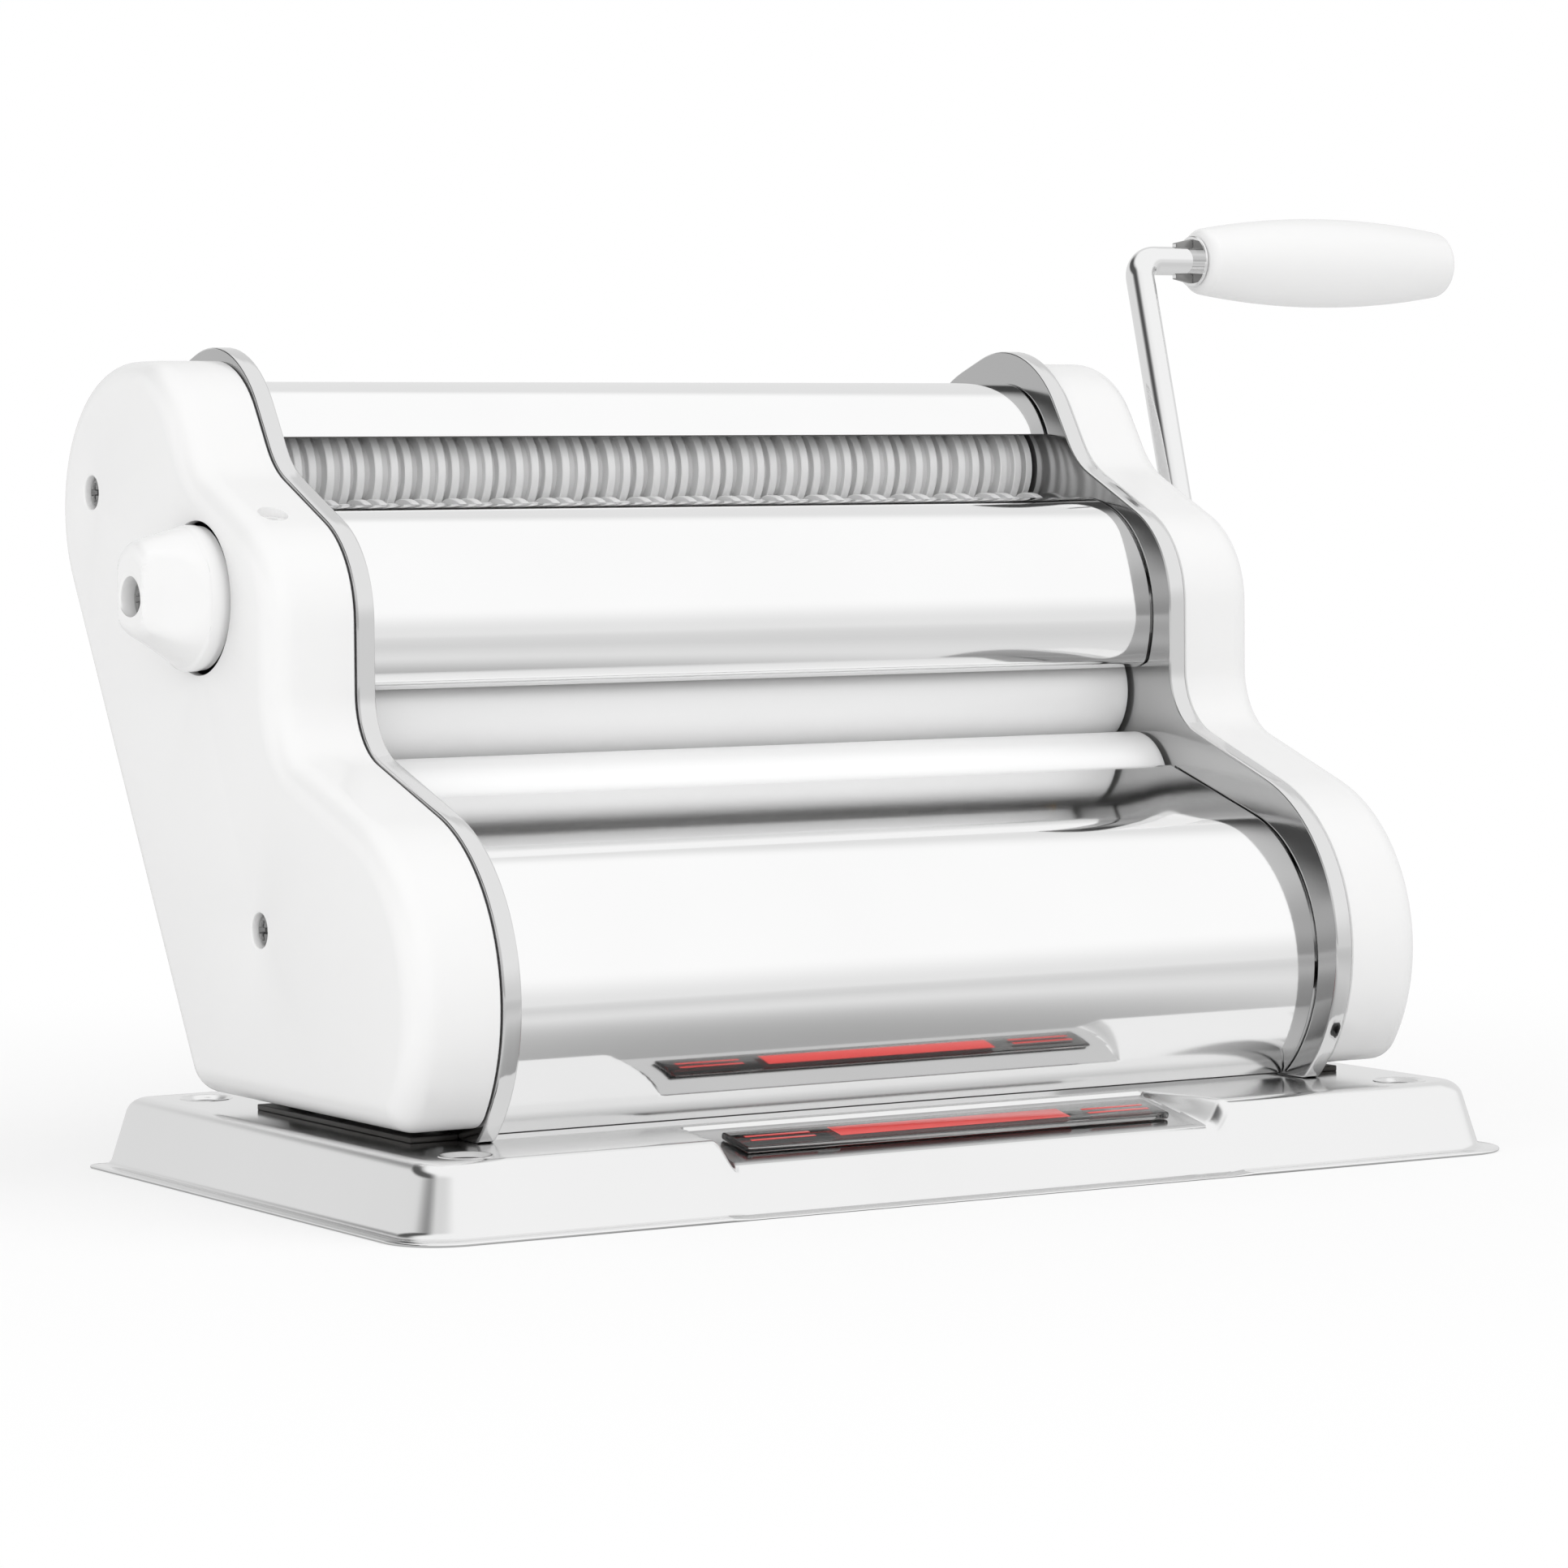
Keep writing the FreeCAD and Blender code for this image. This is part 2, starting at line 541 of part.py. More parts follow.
upper = roller("upper_roller", UPPER, PLATE_TO_COVER + " + stub_proud")
socket = rod("crank_socket", "rod_radius", "socket_depth", stub_end - s.socket_depth, *UPPER)
node(cut("upper_roller_bored", upper, socket), "upper_roller")
node(roller("lower_roller", LOWER, PLATE_TO_GEAR), "lower_roller")
fit_outer, fit_inner = "journal_radius + run_clearance + bush_wall", "journal_radius + run_clearance"
upper_bushes, lower_bushes = [], []
for side, word in SIDES:
    x = plate_in if side > 0 else left_end
    upper_bushes.append(ring(f"{word}_upper_bush", fit_outer, fit_inner, PLATE_TO_LINK, x, *UPPER))
    x = link_in if side > 0 else -link_in - s.link_thick
    lower_bushes.append(ring(f"{word}_lower_bush", fit_outer, fit_inner, "link_thick", x, *LOWER))
node(group("upper_bushes", upper_bushes), "upper_roller_bushes")
node(group("lower_bushes", lower_bushes), "lower_roller_bushes")

# Cutters: rings of two lands each, the lower cutter's rings standing in the upper one's gaps
half_period = s.cutter_period / 2
ring_count = int((s.roller_length + s.cutter_period - s.ring_width) // s.cutter_period)


def cutter_steps(shift):
    steps = [(-half_roller, half_roller, s.floor_radius)]
    for index in range(-ring_count, ring_count + 1):
        middle = index * s.cutter_period + shift
        half, hollow_half = s.ring_width / 2, s.ring_width / 2 - s.land_width
        steps.append((middle - half, middle + half, s.cutter_radius))
        steps.append((middle - hollow_half, middle + hollow_half, s.groove_radius))
        middle += half_period
        steps.append((middle - s.rib_width / 2, middle + s.rib_width / 2, s.rib_radius))
    return steps


def cutter_face(centre, steps, left, right):
    def radius_at(x):
        return [r for a, b, r in steps if a < x < b][-1]

    marks = {m for a, b, _ in steps for m in (a, b) if -half_roller < m < half_roller}
    marks = [-half_roller] + sorted(marks) + [half_roller]
    outline = [(left, 0.0), (left, s.cutter_journal), (-half_roller, s.cutter_journal)]
    for a, b in zip(marks, marks[1:]):
        r = radius_at((a + b) / 2)
        outline += [(a, r), (b, r)]
    outline += [(half_roller, s.cutter_journal), (right, s.cutter_journal), (right, 0.0)]
    corners = [vec(centre[0], centre[1] + r, x) for x, r in outline]
    return Part.Face(Part.makePolygon(corners + corners[:1]))


def cutter(name, centre, shift, left, right):
    spin = doc.addObject("Part::Revolution", name)
    spin.Source = feature(name + "_profile", cutter_face(centre, cutter_steps(shift), left, right))
    spin.Axis = FreeCAD.Vector(1, 0, 0)
    spin.Base = vec(*centre)
    spin.Angle = 360
    spin.Solid = True
    return spin


node(cutter("upper_cutter_turned", CUT_UPPER, 0.0, -plate_out, fine_x + s.fine_width), "upper_cutter")
node(cutter("lower_cutter_turned", CUT_LOWER, half_period, -plate_out, deep_end), "lower_cutter")
cutter_bushes = []
for side, word in SIDES:
    x = plate_in if side > 0 else -plate_out
    for centre, which in ((CUT_UPPER, "upper"), (CUT_LOWER, "lower")):
        cutter_bushes.append(ring(f"{word}_{which}_cutter_bush", "cutter_journal + run_clearance + bush_wall",
                                  "cutter_journal + run_clearance", "plate_thick", x, *centre))
node(group("cutter_bush_set", cutter_bushes), "cutter_bushes")

# Gears under the right cover: a deep pair on the rollers, a fine train from the roller to the cutters
drive_phase = 0.0
idler_phase = meshed(UPPER, s.drive_teeth, drive_phase, IDLER, s.idler_teeth)
cutter_phase = meshed(IDLER, s.idler_teeth, idler_phase, CUT_UPPER, s.cutter_teeth)
pair_phase = meshed(CUT_UPPER, s.cutter_teeth, cutter_phase, CUT_LOWER, s.cutter_teeth)
deep_phase = meshed(UPPER, s.deep_teeth, drive_phase, LOWER, s.deep_teeth)


def deep_gear(name, centre, phase):
    face = gear_face(centre, s.deep_teeth, deep_module, s.deep_thin, phase, s.journal_radius,
                     s.deep_addendum)
    return node(extruded(name + "_cut", face, "deep_width", deep_x), name)


deep_gear("upper_roller_gear", UPPER, drive_phase)
deep_gear("lower_roller_gear", LOWER, deep_phase)
idler_bore = s.idler_journal + s.run_clearance
shaft = s.cutter_journal
for name, centre, teeth, phase, bore, width, x in (
        ("drive_gear", UPPER, s.drive_teeth, drive_phase, s.journal_radius, "fine_width", fine_x),
        ("idler_gear", IDLER, s.idler_teeth, idler_phase, idler_bore, "fine_width", fine_x),
        ("cutter_drive_gear", CUT_UPPER, s.cutter_teeth, cutter_phase, shaft, "fine_width", fine_x),
        ("upper_cutter_gear", CUT_UPPER, s.cutter_teeth, cutter_phase, shaft, "deep_width", deep_x),
        ("lower_cutter_gear", CUT_LOWER, s.cutter_teeth, pair_phase, shaft, "deep_width", deep_x)):
    face = gear_face(centre, teeth, s.fine_module, s.fine_thin, phase, bore, s.fine_addendum)
    node(extruded(name + "_cut", face, width, x), name)
pin_thick = rod("idler_pin_body", "idler_pin_radius", PLATE_TO_GEAR + " + gear_gap - seam", plate_in, *IDLER)
pin_thin = rod("idler_pin_journal", "idler_journal", "fine_width + seam + clip_thick + 2 * run_clearance",
               fine_x - s.seam, *IDLER)
node(fuse("idler_pin_turned", pin_thick, pin_thin), "idler_pin")
node(ring("idler_clip_ring", "clip_radius", "idler_journal", "clip_thick",
          fine_x + s.fine_width + 2 * s.run_clearance, *IDLER), "idler_clip")

# Gap regulator: a spindle across the machine, a snail cam at each end and a link plate over each cam
spindle_left = -(cover_out + s.knob_gap + s.spindle_seat)
spindle_run = f"{PLATE_TO_COVER} + knob_gap + spindle_seat + {PLATE_GAP} + plate_thick + link_gap + cam_thick"
spindle = rod("spindle_rod", "spindle_radius", spindle_run + " + clip_thick", spindle_left, *KNOB)
thread = rod("spindle_thread", "screw_radius", "screw_length - head_height", spindle_left, *KNOB)
node(cut("spindle_tapped", spindle, thread), "regulator_spindle")
cam_rate = s.gap_travel / s.cam_turn
cam_step = 5
cam_high = s.cam_low + s.gap_travel


def cam_face():
    zero = math.degrees(math.atan2(along[1], along[0]))
    fall_start, turn_end = s.cam_turn + s.cam_lead, 360 - s.cam_lead
    corners = []
    for turned_by in range(-int(s.cam_lead), int(turn_end), cam_step):
        radius = s.cam_low + cam_rate * turned_by
        if turned_by > fall_start:
            left_over = (turn_end - turned_by) / (turn_end - fall_start)
            low, high = s.cam_low - cam_rate * s.cam_lead, s.cam_low + cam_rate * fall_start
            radius = low + (high - low) * left_over
        corners.append(vec(*polar(KNOB, radius, zero + turned_by)))
    return holed([Part.makePolygon(corners + corners[:1]), circle_wire(KNOB, s.spindle_radius)])


def link_face():
    window = []
    low = -(cam_high + s.gap_travel + s.slot_clearance)
    for up, out in ((s.cam_low + s.cam_gap, -1), (s.cam_low + s.cam_gap, 1), (low, 1), (low, -1)):
        window.append(vec(*shifted(KNOB, up, out * s.window_half)))
    wires = [belt([(*LOWER, s.link_rim), (*KNOB, s.link_head), (*UPPER, s.link_rim)]),
             circle_wire(LOWER, bush_radius),
             slot_wire(UPPER, -s.gap_travel, bush_radius + s.run_clearance),
             Part.makePolygon(window + window[:1])]
    return holed(wires)


spindle_bushes = []
for side, word in SIDES:
    x = link_in if side > 0 else -link_in - s.cam_thick
    node(extruded(f"{word}_cam_cut", cam_face(), "cam_thick", x), f"{word}_cam")
    node(extruded(f"{word}_link_cut", link_face(), "link_thick", x), f"{word}_link")
    x = plate_in if side > 0 else -plate_out
    spindle_bushes.append(ring(f"{word}_spindle_bush", "spindle_radius + run_clearance + bush_wall",
                               "spindle_radius + run_clearance", "plate_thick", x, *KNOB))
node(group("spindle_bush_pair", spindle_bushes), "spindle_bushes")
near, far = -s.knob_gap, -s.knob_gap - s.knob_height
well_floor = far + s.well_depth
knob_turned = turned("knob_turned", [
    (near, s.spindle_radius), (near, s.knob_radius), (near - s.knob_skirt, s.knob_radius),
    (far, s.knob_nose), (far, s.knob_well), (well_floor, s.knob_well), (well_floor, s.screw_radius),
    (near - s.spindle_seat, s.screw_radius), (near - s.spindle_seat, s.spindle_radius)],
    -cover_out, *KNOB)
scoops = []
for out, word in ((-1, "front"), (1, "rear")):
    y, z = KNOB[0] + out * (s.scoop_half + s.scoop_radius), KNOB[1] - s.knob_radius
    scoops.append(rod(f"{word}_scoop", "scoop_radius", "2 * knob_radius",
                      -cover_out + far - s.knob_skirt, y, z, UPRIGHT))
node(cut("knob_scooped", knob_turned, *scoops), "regulator_knob")
head_x = -cover_out + well_floor - s.head_height
node(fuse("knob_screw_turned", rod("knob_screw_head", "screw_head", "head_height", head_x, *KNOB),
          rod("knob_screw_shank", "screw_radius", "screw_length", head_x, *KNOB)), "knob_screw")

# Guide sheets bent from polished strip, standing between the plates
sheet_half = plate_in - s.sheet_end_gap
sheet_run = PLATE_GAP + " - 2 * sheet_end_gap"


def bent_sheet(name, steps, thick=s.sheet_thick):
    return node(extruded(name + "_bent", strip(steps, thick), sheet_run, -sheet_half), name)


apron_turn = 90 + s.apron_slope
bend = polar((s.apron_y, s.apron_z), s.apron_radius, apron_turn)
rise = (math.cos(math.radians(s.apron_slope)), math.sin(math.radians(s.apron_slope)))
apron_top = (bend[0] + rise[0] * s.apron_length, bend[1] + rise[1] * s.apron_length)
bent_sheet("lower_sheet", [((s.apron_y, s.apron_z), s.apron_radius, s.apron_foot, apron_turn),
                           (bend, apron_top)])
fascia = (s.fascia_y, s.fascia_z)
lip_start = polar(fascia, s.fascia_radius, s.fascia_low)
lip_centre = polar(fascia, s.fascia_radius - s.lip_radius, s.fascia_low)
lip_angle = s.fascia_low + s.lip_turn
lip_bend = polar(lip_centre, s.lip_radius, lip_angle)
lip_way = math.radians(lip_angle + 90)
lip_end = (lip_bend[0] + s.lip_length * math.cos(lip_way), lip_bend[1] + s.lip_length * math.sin(lip_way))
bent_sheet("middle_sheet", [(lip_end, lip_bend),
                            (lip_centre, s.lip_radius, lip_angle, s.fascia_low),
                            (fascia, s.fascia_radius, s.fascia_low, 90)])
bent_sheet("top_sheet", [((s.hood_y, s.hood_z), s.hood_radius, s.hood_front, s.hood_rear)])
nip = shifted(LOWER, s.roller_radius + s.gap_open / 2)
cut_nip = shifted(CUT_LOWER, s.cutter_teeth * s.fine_module / 2)
for name, start, far_out in (("rear_lower_sheet", nip, s.chute_far),
                             ("rear_upper_sheet", cut_nip, s.chute_far - s.cutter_radius)):
    chute = (shifted(start, -s.chute_drop, s.chute_near), shifted(start, -s.chute_drop, far_out))
    bent_sheet(name, [chute], s.chute_thick)

# Scrapers behind the smooth rollers and combs behind the cutters
scrape = s.roller_radius + s.scraper_gap
for name, centre, up in (("upper_scraper", UPPER, s.scraper_thick), ("lower_scraper", LOWER, 0.0)):
    edge = shifted(centre, up, scrape)
    bent_sheet(name, [(edge, shifted(centre, up, scrape + s.scraper_width))], s.scraper_thick)


def comb(name, centre, shift):
    reach = s.rib_radius + s.comb_gap
    back = s.cutter_radius + s.comb_reach
    flat = [shifted(centre, up * s.comb_bar / 2, out) for up, out in ((-1, back), (-1, back + s.comb_bar),
                                                                       (1, back + s.comb_bar), (1, back))]
    corners = [vec(*p) for p in flat]
    bar = extruded(name + "_bar", Part.Face(Part.makePolygon(corners + corners[:1])), sheet_run, -sheet_half)
    tooth = [shifted(centre, up * s.chute_thick, out)
             for up, out in ((-1, reach), (-1, back), (1, back), (1, reach))]
    corners = [vec(*p) for p in tooth]
    tooth_face = Part.Face(Part.makePolygon(corners + corners[:1]))
    fingers = []
    for index in range(-ring_count, ring_count + 1):
        x = index * s.cutter_period + shift - s.finger_width / 2
        if abs(x + s.finger_width / 2) < half_roller - s.finger_width:
            fingers.append(extruded(f"{name}_finger_{index + ring_count}", tooth_face, "finger_width", x))
    return node(fuse(name + "_joined", bar, *fingers), name)


comb("upper_comb", CUT_UPPER, half_period)
comb("lower_comb", CUT_LOWER, 0.0)

# Crank: a bent rod fixed in the upper roller, with a washer and a clip that keep the grip on
arm = (math.sin(math.radians(s.crank_lean)), math.cos(math.radians(s.crank_lean)))
arm_x = cover_out + s.arm_offset
PIN = (UPPER[0] + arm[0] * s.crank_reach, UPPER[1] + arm[1] * s.crank_reach)
grip_x = cover_out + s.grip_start
rod_end = grip_x + s.grip_length - s.grip_cap - 2 * s.washer_gap


def bend_at(corner, before, after):
    """Start, crown and end of a round bend between two unit directions."""
    turn_angle = before.getAngle(after)
    tangent = s.crank_bend * math.tan(turn_angle / 2)
    inward = (after - before).normalize()
    hub = corner + inward * (s.crank_bend / math.cos(turn_angle / 2))
    return corner - before * tangent, hub - inward * s.crank_bend, corner + after * tangent


def crank_path():
    straight = FreeCAD.Vector(1, 0, 0)
    start = vec(*UPPER, stub_end - s.socket_depth)
    lower_corner, upper_corner = vec(*UPPER, arm_x), vec(*PIN, arm_x + s.crank_flare)
    slant = (upper_corner - lower_corner).normalize()
    first, second = bend_at(lower_corner, straight, slant), bend_at(upper_corner, slant, straight)
    return Part.Wire([Part.LineSegment(start, first[0]).toShape(), Part.Arc(*first).toShape(),
                      Part.LineSegment(first[2], second[0]).toShape(), Part.Arc(*second).toShape(),
                      Part.LineSegment(second[2], vec(*PIN, rod_end)).toShape()])


start_ring = Part.Circle(vec(*UPPER, stub_end - s.socket_depth), FreeCAD.Vector(1, 0, 0), s.rod_radius)
crank_solid = crank_path().makePipeShell([Part.Wire(start_ring.toShape())], True, False)
node(feature("crank_bent", crank_solid), "crank_rod")
washer_x = grip_x - s.washer_gap - s.washer_thick
node(ring("crank_washer_ring", "washer_radius", "rod_radius", "washer_thick", washer_x, *PIN), "crank_washer")
chamber = s.rod_radius + s.bush_wall
clip_x = grip_x + s.grip_length / 2
node(ring("grip_clip_ring", "rod_radius + bush_wall - run_clearance", "rod_radius", "clip_thick",
          clip_x, *PIN), "grip_clip")
bore = s.rod_radius + s.run_clearance
room = s.clip_room / 2
middle = s.grip_length / 2 + s.clip_thick / 2
hollow_end = s.grip_length - s.grip_cap
grip_points = [(0, bore), (0, s.grip_end), (s.grip_length, s.grip_end), (s.grip_length, 0), (hollow_end, 0),
               (hollow_end, bore), (middle + room, bore), (middle + room, chamber), (middle - room, chamber),
               (middle - room, bore)]
grip_swell = {1: (s.grip_length / 2, s.grip_mid)}
node(turned("grip_turned", grip_points, grip_x, *PIN, arcs=grip_swell), "crank_grip")

# Tie rods, foot bars and the screws that hold them
ties, tie_screws, cover_screws = [], [], []
for i, (y, z) in enumerate(TIES):
    tie = rod(f"tie_{i}", "tie_radius", PLATE_GAP, -plate_in, y, z)
    taps = [rod(f"tie_tap_{i}_{side + 1}", "screw_radius", "screw_length",
                plate_in - s.screw_length if side > 0 else -plate_in, y, z) for side, _ in SIDES]
    ties.append(cut(f"tie_tapped_{i}", tie, *taps))


def side_screw(name, side, seat, tip, y, z, shank):
    head_x = seat if side > 0 else -seat - s.head_height
    head = rod(name + "_head", "screw_head", "head_height", head_x, y, z)
    stem = rod(name + "_stem", "screw_radius", shank, tip if side > 0 else -seat, y, z)
    return fuse(name, head, stem)


for side, word in SIDES:
    for i, (y, z) in enumerate(TIES):
        tip = plate_in - s.screw_length
        tie_screws.append(side_screw(f"tie_screw_{word}_{i}", side, plate_out, tip, y, z,
                                     "plate_thick + screw_length"))
    for i, (y, z) in enumerate(COVER_SCREWS):
        seat = cover_out - s.boss_seat
        cover_screws.append(side_screw(f"cover_screw_{word}_{i}", side, seat, plate_in, y, z,
                                       PLATE_TO_COVER + " - boss_seat"))
node(group("tie_set", ties), "tie_rods")
node(group("tie_screw_set", tie_screws), "tie_rod_screws")
node(group("cover_screw_set", cover_screws), "cover_screws")

bar_screws, bar_nuts = [], []
nut_z = s.tray_height - s.sheet_thick - s.nut_thick
for side, word in SIDES:
    bar = doc.addObject("Part::Box", f"{word}_bar")
    bind(bar, Length="bar_width", Width="bar_length", Height="bar_thick")
    bar_y = sum(BAR_SCREWS) / 2 - s.bar_length / 2
    place(bar, plate_out if side > 0 else -plate_out - s.bar_width, bar_y, s.tray_height)
    drilled = holes(f"{word}_bar_hole", "screw_radius", "bar_thick", [(side * bar_x, y) for y in BAR_SCREWS],
                    s.tray_height)
    node(cut(f"{word}_bar_drilled", bar, *drilled), f"{word}_foot_bar")
for i, (x, y) in enumerate(bar_places):
    head = rod(f"bar_head_{i}", "screw_head", "head_height", x, y, s.tray_height + s.bar_thick, UPRIGHT)
    stem = rod(f"bar_stem_{i}", "screw_radius", "bar_thick + sheet_thick + nut_thick", x, y, nut_z, UPRIGHT)
    bar_screws.append(fuse(f"bar_screw_{i}", head, stem))
    bar_nuts.append(ring(f"bar_nut_{i}", "nut_radius", "screw_radius", "nut_thick", x, y, nut_z, UPRIGHT))
node(group("bar_screw_set", bar_screws), "foot_bar_screws")
node(group("bar_nut_set", bar_nuts), "foot_bar_nuts")

# Every object has to be sound before anything is written
doc.recompute()
for obj in doc.Objects:
    if "Invalid" in obj.State or "Error" in obj.State:
        raise RuntimeError(f"{obj.Label} did not build: {obj.State}")
for piece in NODES:
    if piece.Shape.isNull() or not piece.Shape.isValid() or not piece.Shape.Solids:
        raise RuntimeError(f"{piece.Label} has no sound solid")
os.makedirs("parts", exist_ok=True)
for piece in NODES:
    piece.Shape.exportStep(f"parts/{piece.Label}.step")
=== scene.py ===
import json
import math

import bmesh
import bpy
from mathutils import Matrix, Vector


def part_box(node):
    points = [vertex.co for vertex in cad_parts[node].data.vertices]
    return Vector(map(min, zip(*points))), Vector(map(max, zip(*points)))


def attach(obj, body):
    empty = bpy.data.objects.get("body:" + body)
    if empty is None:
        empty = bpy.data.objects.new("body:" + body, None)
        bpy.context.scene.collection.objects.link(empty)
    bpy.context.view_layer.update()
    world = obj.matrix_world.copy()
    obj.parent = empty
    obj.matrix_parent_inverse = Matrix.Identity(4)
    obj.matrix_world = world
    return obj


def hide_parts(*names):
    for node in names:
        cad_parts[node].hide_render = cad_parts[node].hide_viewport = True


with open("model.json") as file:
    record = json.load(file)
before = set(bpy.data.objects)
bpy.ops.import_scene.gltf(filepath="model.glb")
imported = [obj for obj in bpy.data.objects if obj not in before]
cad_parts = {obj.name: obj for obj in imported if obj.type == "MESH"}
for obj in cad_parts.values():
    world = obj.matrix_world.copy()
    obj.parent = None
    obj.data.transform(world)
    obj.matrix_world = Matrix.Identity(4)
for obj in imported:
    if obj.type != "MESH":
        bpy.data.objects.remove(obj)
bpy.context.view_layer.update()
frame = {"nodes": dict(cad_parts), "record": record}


# Base tray: one sheet of stainless steel, pressed into a low pan with a flat flange all round and
# a sloping recess at the front, then polished. Four dished holes near its corners take the screws
# or the feet.
class Flow:
    """One output socket of a node tree; arithmetic on it adds Math nodes to that tree."""

    def __init__(self, tree, socket=None):
        self.tree = tree
        self.socket = socket

    def node(self, kind, settings=None, values=None, out=0):
        made = self.tree.nodes.new(kind)
        for name, setting in (settings or {}).items():
            setattr(made, name, setting)
        for name, value in (values or {}).items():
            if isinstance(value, Flow):
                self.tree.links.new(value.socket, made.inputs[name])
            else:
                made.inputs[name].default_value = value
        return Flow(self.tree, made.outputs[out] if made.outputs else None)

    def maths(self, operation, first, second):
        return self.node("ShaderNodeMath", {"operation": operation}, {0: first, 1: second})

    def __add__(self, other):
        return self.maths("ADD", self, other)

    def __mul__(self, other):
        return self.maths("MULTIPLY", self, other)

    def __sub__(self, other):
        return self.maths("SUBTRACT", self, other)

    def __rsub__(self, other):
        return self.maths("SUBTRACT", other, self)

    __radd__ = __add__
    __rmul__ = __mul__


def grey(level, warmth=0.0):
    return (level + warmth, level, level - warmth, 1.0)


class Finish(Flow):
    """A new material with its node tree cleared, and the textures that several finishes share."""

    def __init__(self, name):
        self.material = bpy.data.materials.new(name)
        self.material.use_nodes = True
        super().__init__(self.material.node_tree)
        self.tree.nodes.clear()
        self.place = self.node("ShaderNodeTexCoord", out="Object")

    def cloud(self, scale, detail=3.0, stretch=(1.0, 1.0, 1.0)):
        place = self.node("ShaderNodeMapping", {}, {"Vector": self.place, "Scale": stretch})
        return self.node("ShaderNodeTexNoise", {}, {"Vector": place, "Scale": scale, "Detail": detail})

    def blend(self, factor, first, second):
        return self.node("ShaderNodeMix", {"data_type": "RGBA"}, {0: factor, 6: first, 7: second}, out=2)

    def bump(self, height, strength, distance):
        return self.node("ShaderNodeBump", {}, {"Height": height, "Strength": strength, "Distance": distance})

    def coat(self, **values):
        sockets = {name.replace("_", " ").title().replace("Ior", "IOR"): v for name, v in values.items()}
        shader = self.node("ShaderNodeBsdfPrincipled", {}, sockets)
        self.node("ShaderNodeOutputMaterial", {}, {"Surface": shader})
        return self.material


def polished_steel(name, level, rough, grain=(1.0, 1.0, 1.0)):
    finish = Finish(name)
    smear = finish.cloud(14.0, 4.0)
    lines = finish.cloud(900.0, 2.0, grain)
    colour = finish.blend(smear, grey(level - 0.025), grey(level + 0.025))
    return finish.coat(base_color=colour, metallic=1.0, roughness=rough + smear * 0.03 + lines * 0.02,
                       normal=finish.bump(lines, 0.02, 0.00005))


def bridge(bm, rows):
    """Quads between closed rows of points that all have the same count; returns the rows of vertices."""
    made = [[bm.verts.new(point) for point in row] for row in rows]
    for first, second in zip(made, made[1:]):
        for i in range(len(first)):
            j = (i + 1) % len(first)
            bm.faces.new((first[i], first[j], second[j], second[i]))
    return made


WELD = 1e-6


def as_mesh(name, bm, material, crease=35.0, weld=WELD):
    bmesh.ops.remove_doubles(bm, verts=bm.verts, dist=weld)
    bmesh.ops.recalc_face_normals(bm, faces=bm.faces)
    mesh = bpy.data.meshes.new(name)
    bm.to_mesh(mesh)
    bm.free()
    mesh.materials.append(material)
    mesh.shade_smooth()
    mesh.set_sharp_from_angle(angle=math.radians(crease))
    return mesh


def linked(name, data):
    """A new object that holds the data, linked to the scene's collection."""
    made = bpy.data.objects.new(name, data)
    bpy.context.collection.objects.link(made)
    return made


def show(name, mesh, body, slot, *nodes):
    piece = linked(name, mesh)
    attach(piece, body)
    if nodes:
        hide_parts(*nodes)


def plain_mesh(carrier):
    """The carrier's mesh after its modifiers; the carrier is then removed."""
    result = bpy.data.meshes.new_from_object(carrier.evaluated_get(bpy.context.evaluated_depsgraph_get()))
    bpy.data.objects.remove(carrier)
    return result


def smooth(value):
    value = min(1.0, max(0.0, value))
    return value * value * (3 - 2 * value)


def arc(centre, radius, start, end, steps):
    """Points on an arc, from one angle to another in degrees."""
    angles = [math.radians(start + (end - start) * i / steps) for i in range(steps + 1)]
    return [(centre[0] + radius * math.cos(a), centre[1] + radius * math.sin(a)) for a in angles]


MM = 0.001
TRAY_X, TRAY_Y, TRAY_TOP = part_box("base_tray")[1]
SHEET = 1.0 * MM
FRONT_CORNER, BACK_CORNER, LEAST_CORNER = 16 * MM, 3 * MM, 2.5 * MM
CORNER_SHARE, BACK_SHARE = 0.6, 0.6
WALL_FOOT, WALL_RUN, WALL_LEAN = 5.6 * MM, 3.3 * MM, 15
TOP_ROUND, FOOT_ROUND = 5.2 * MM, 2.6 * MM
TOP_INSETS = (48, 44, 43.2, 42.8, 42.4, 42, 41.6, 41.2, 40.8, 40, 36, 32, 28, 24, 20)
COARSE_STEP, COARSE_HALF = 10, 12
FINE_START, FINE_STEP, FINE_COUNT = 70, 0.7, 30
CORNER_STEPS, TOP_STEPS, FOOT_STEPS, RIM_STEPS = 12, 10, 8, 6
RECESS_BACK, RECESS_HALF = 42 * MM, 74 * MM
RECESS_SPLAY_LOW, RECESS_SPLAY_HIGH = 2 * MM, 10 * MM
RECESS_STEP, RECESS_DROP, RECESS_EDGE = 1.0 * MM, 9 * MM, 0.9 * MM


def recess_depth(x, y):
    run = (y + TRAY_Y - RECESS_BACK) / -RECESS_BACK
    if run < -RECESS_EDGE / RECESS_BACK:
        return 0.0
    deep = RECESS_STEP * smooth(run * RECESS_BACK / RECESS_EDGE + 0.5)
    deep += (RECESS_DROP - RECESS_STEP) * max(0.0, run)
    floor_half = RECESS_HALF + RECESS_SPLAY_LOW * run
    top_half = RECESS_HALF + RECESS_EDGE + RECESS_SPLAY_HIGH * max(0.0, run)
    return deep * smooth((top_half - abs(x)) / (top_half - floor_half))


def tray_stations():
    coarse = [i * COARSE_STEP * MM for i in range(-COARSE_HALF, COARSE_HALF + 1)]
    fine = [side * (FINE_START + i * FINE_STEP) * MM for side in (-1, 1) for i in range(FINE_COUNT)]
    return sorted(set(coarse + fine))


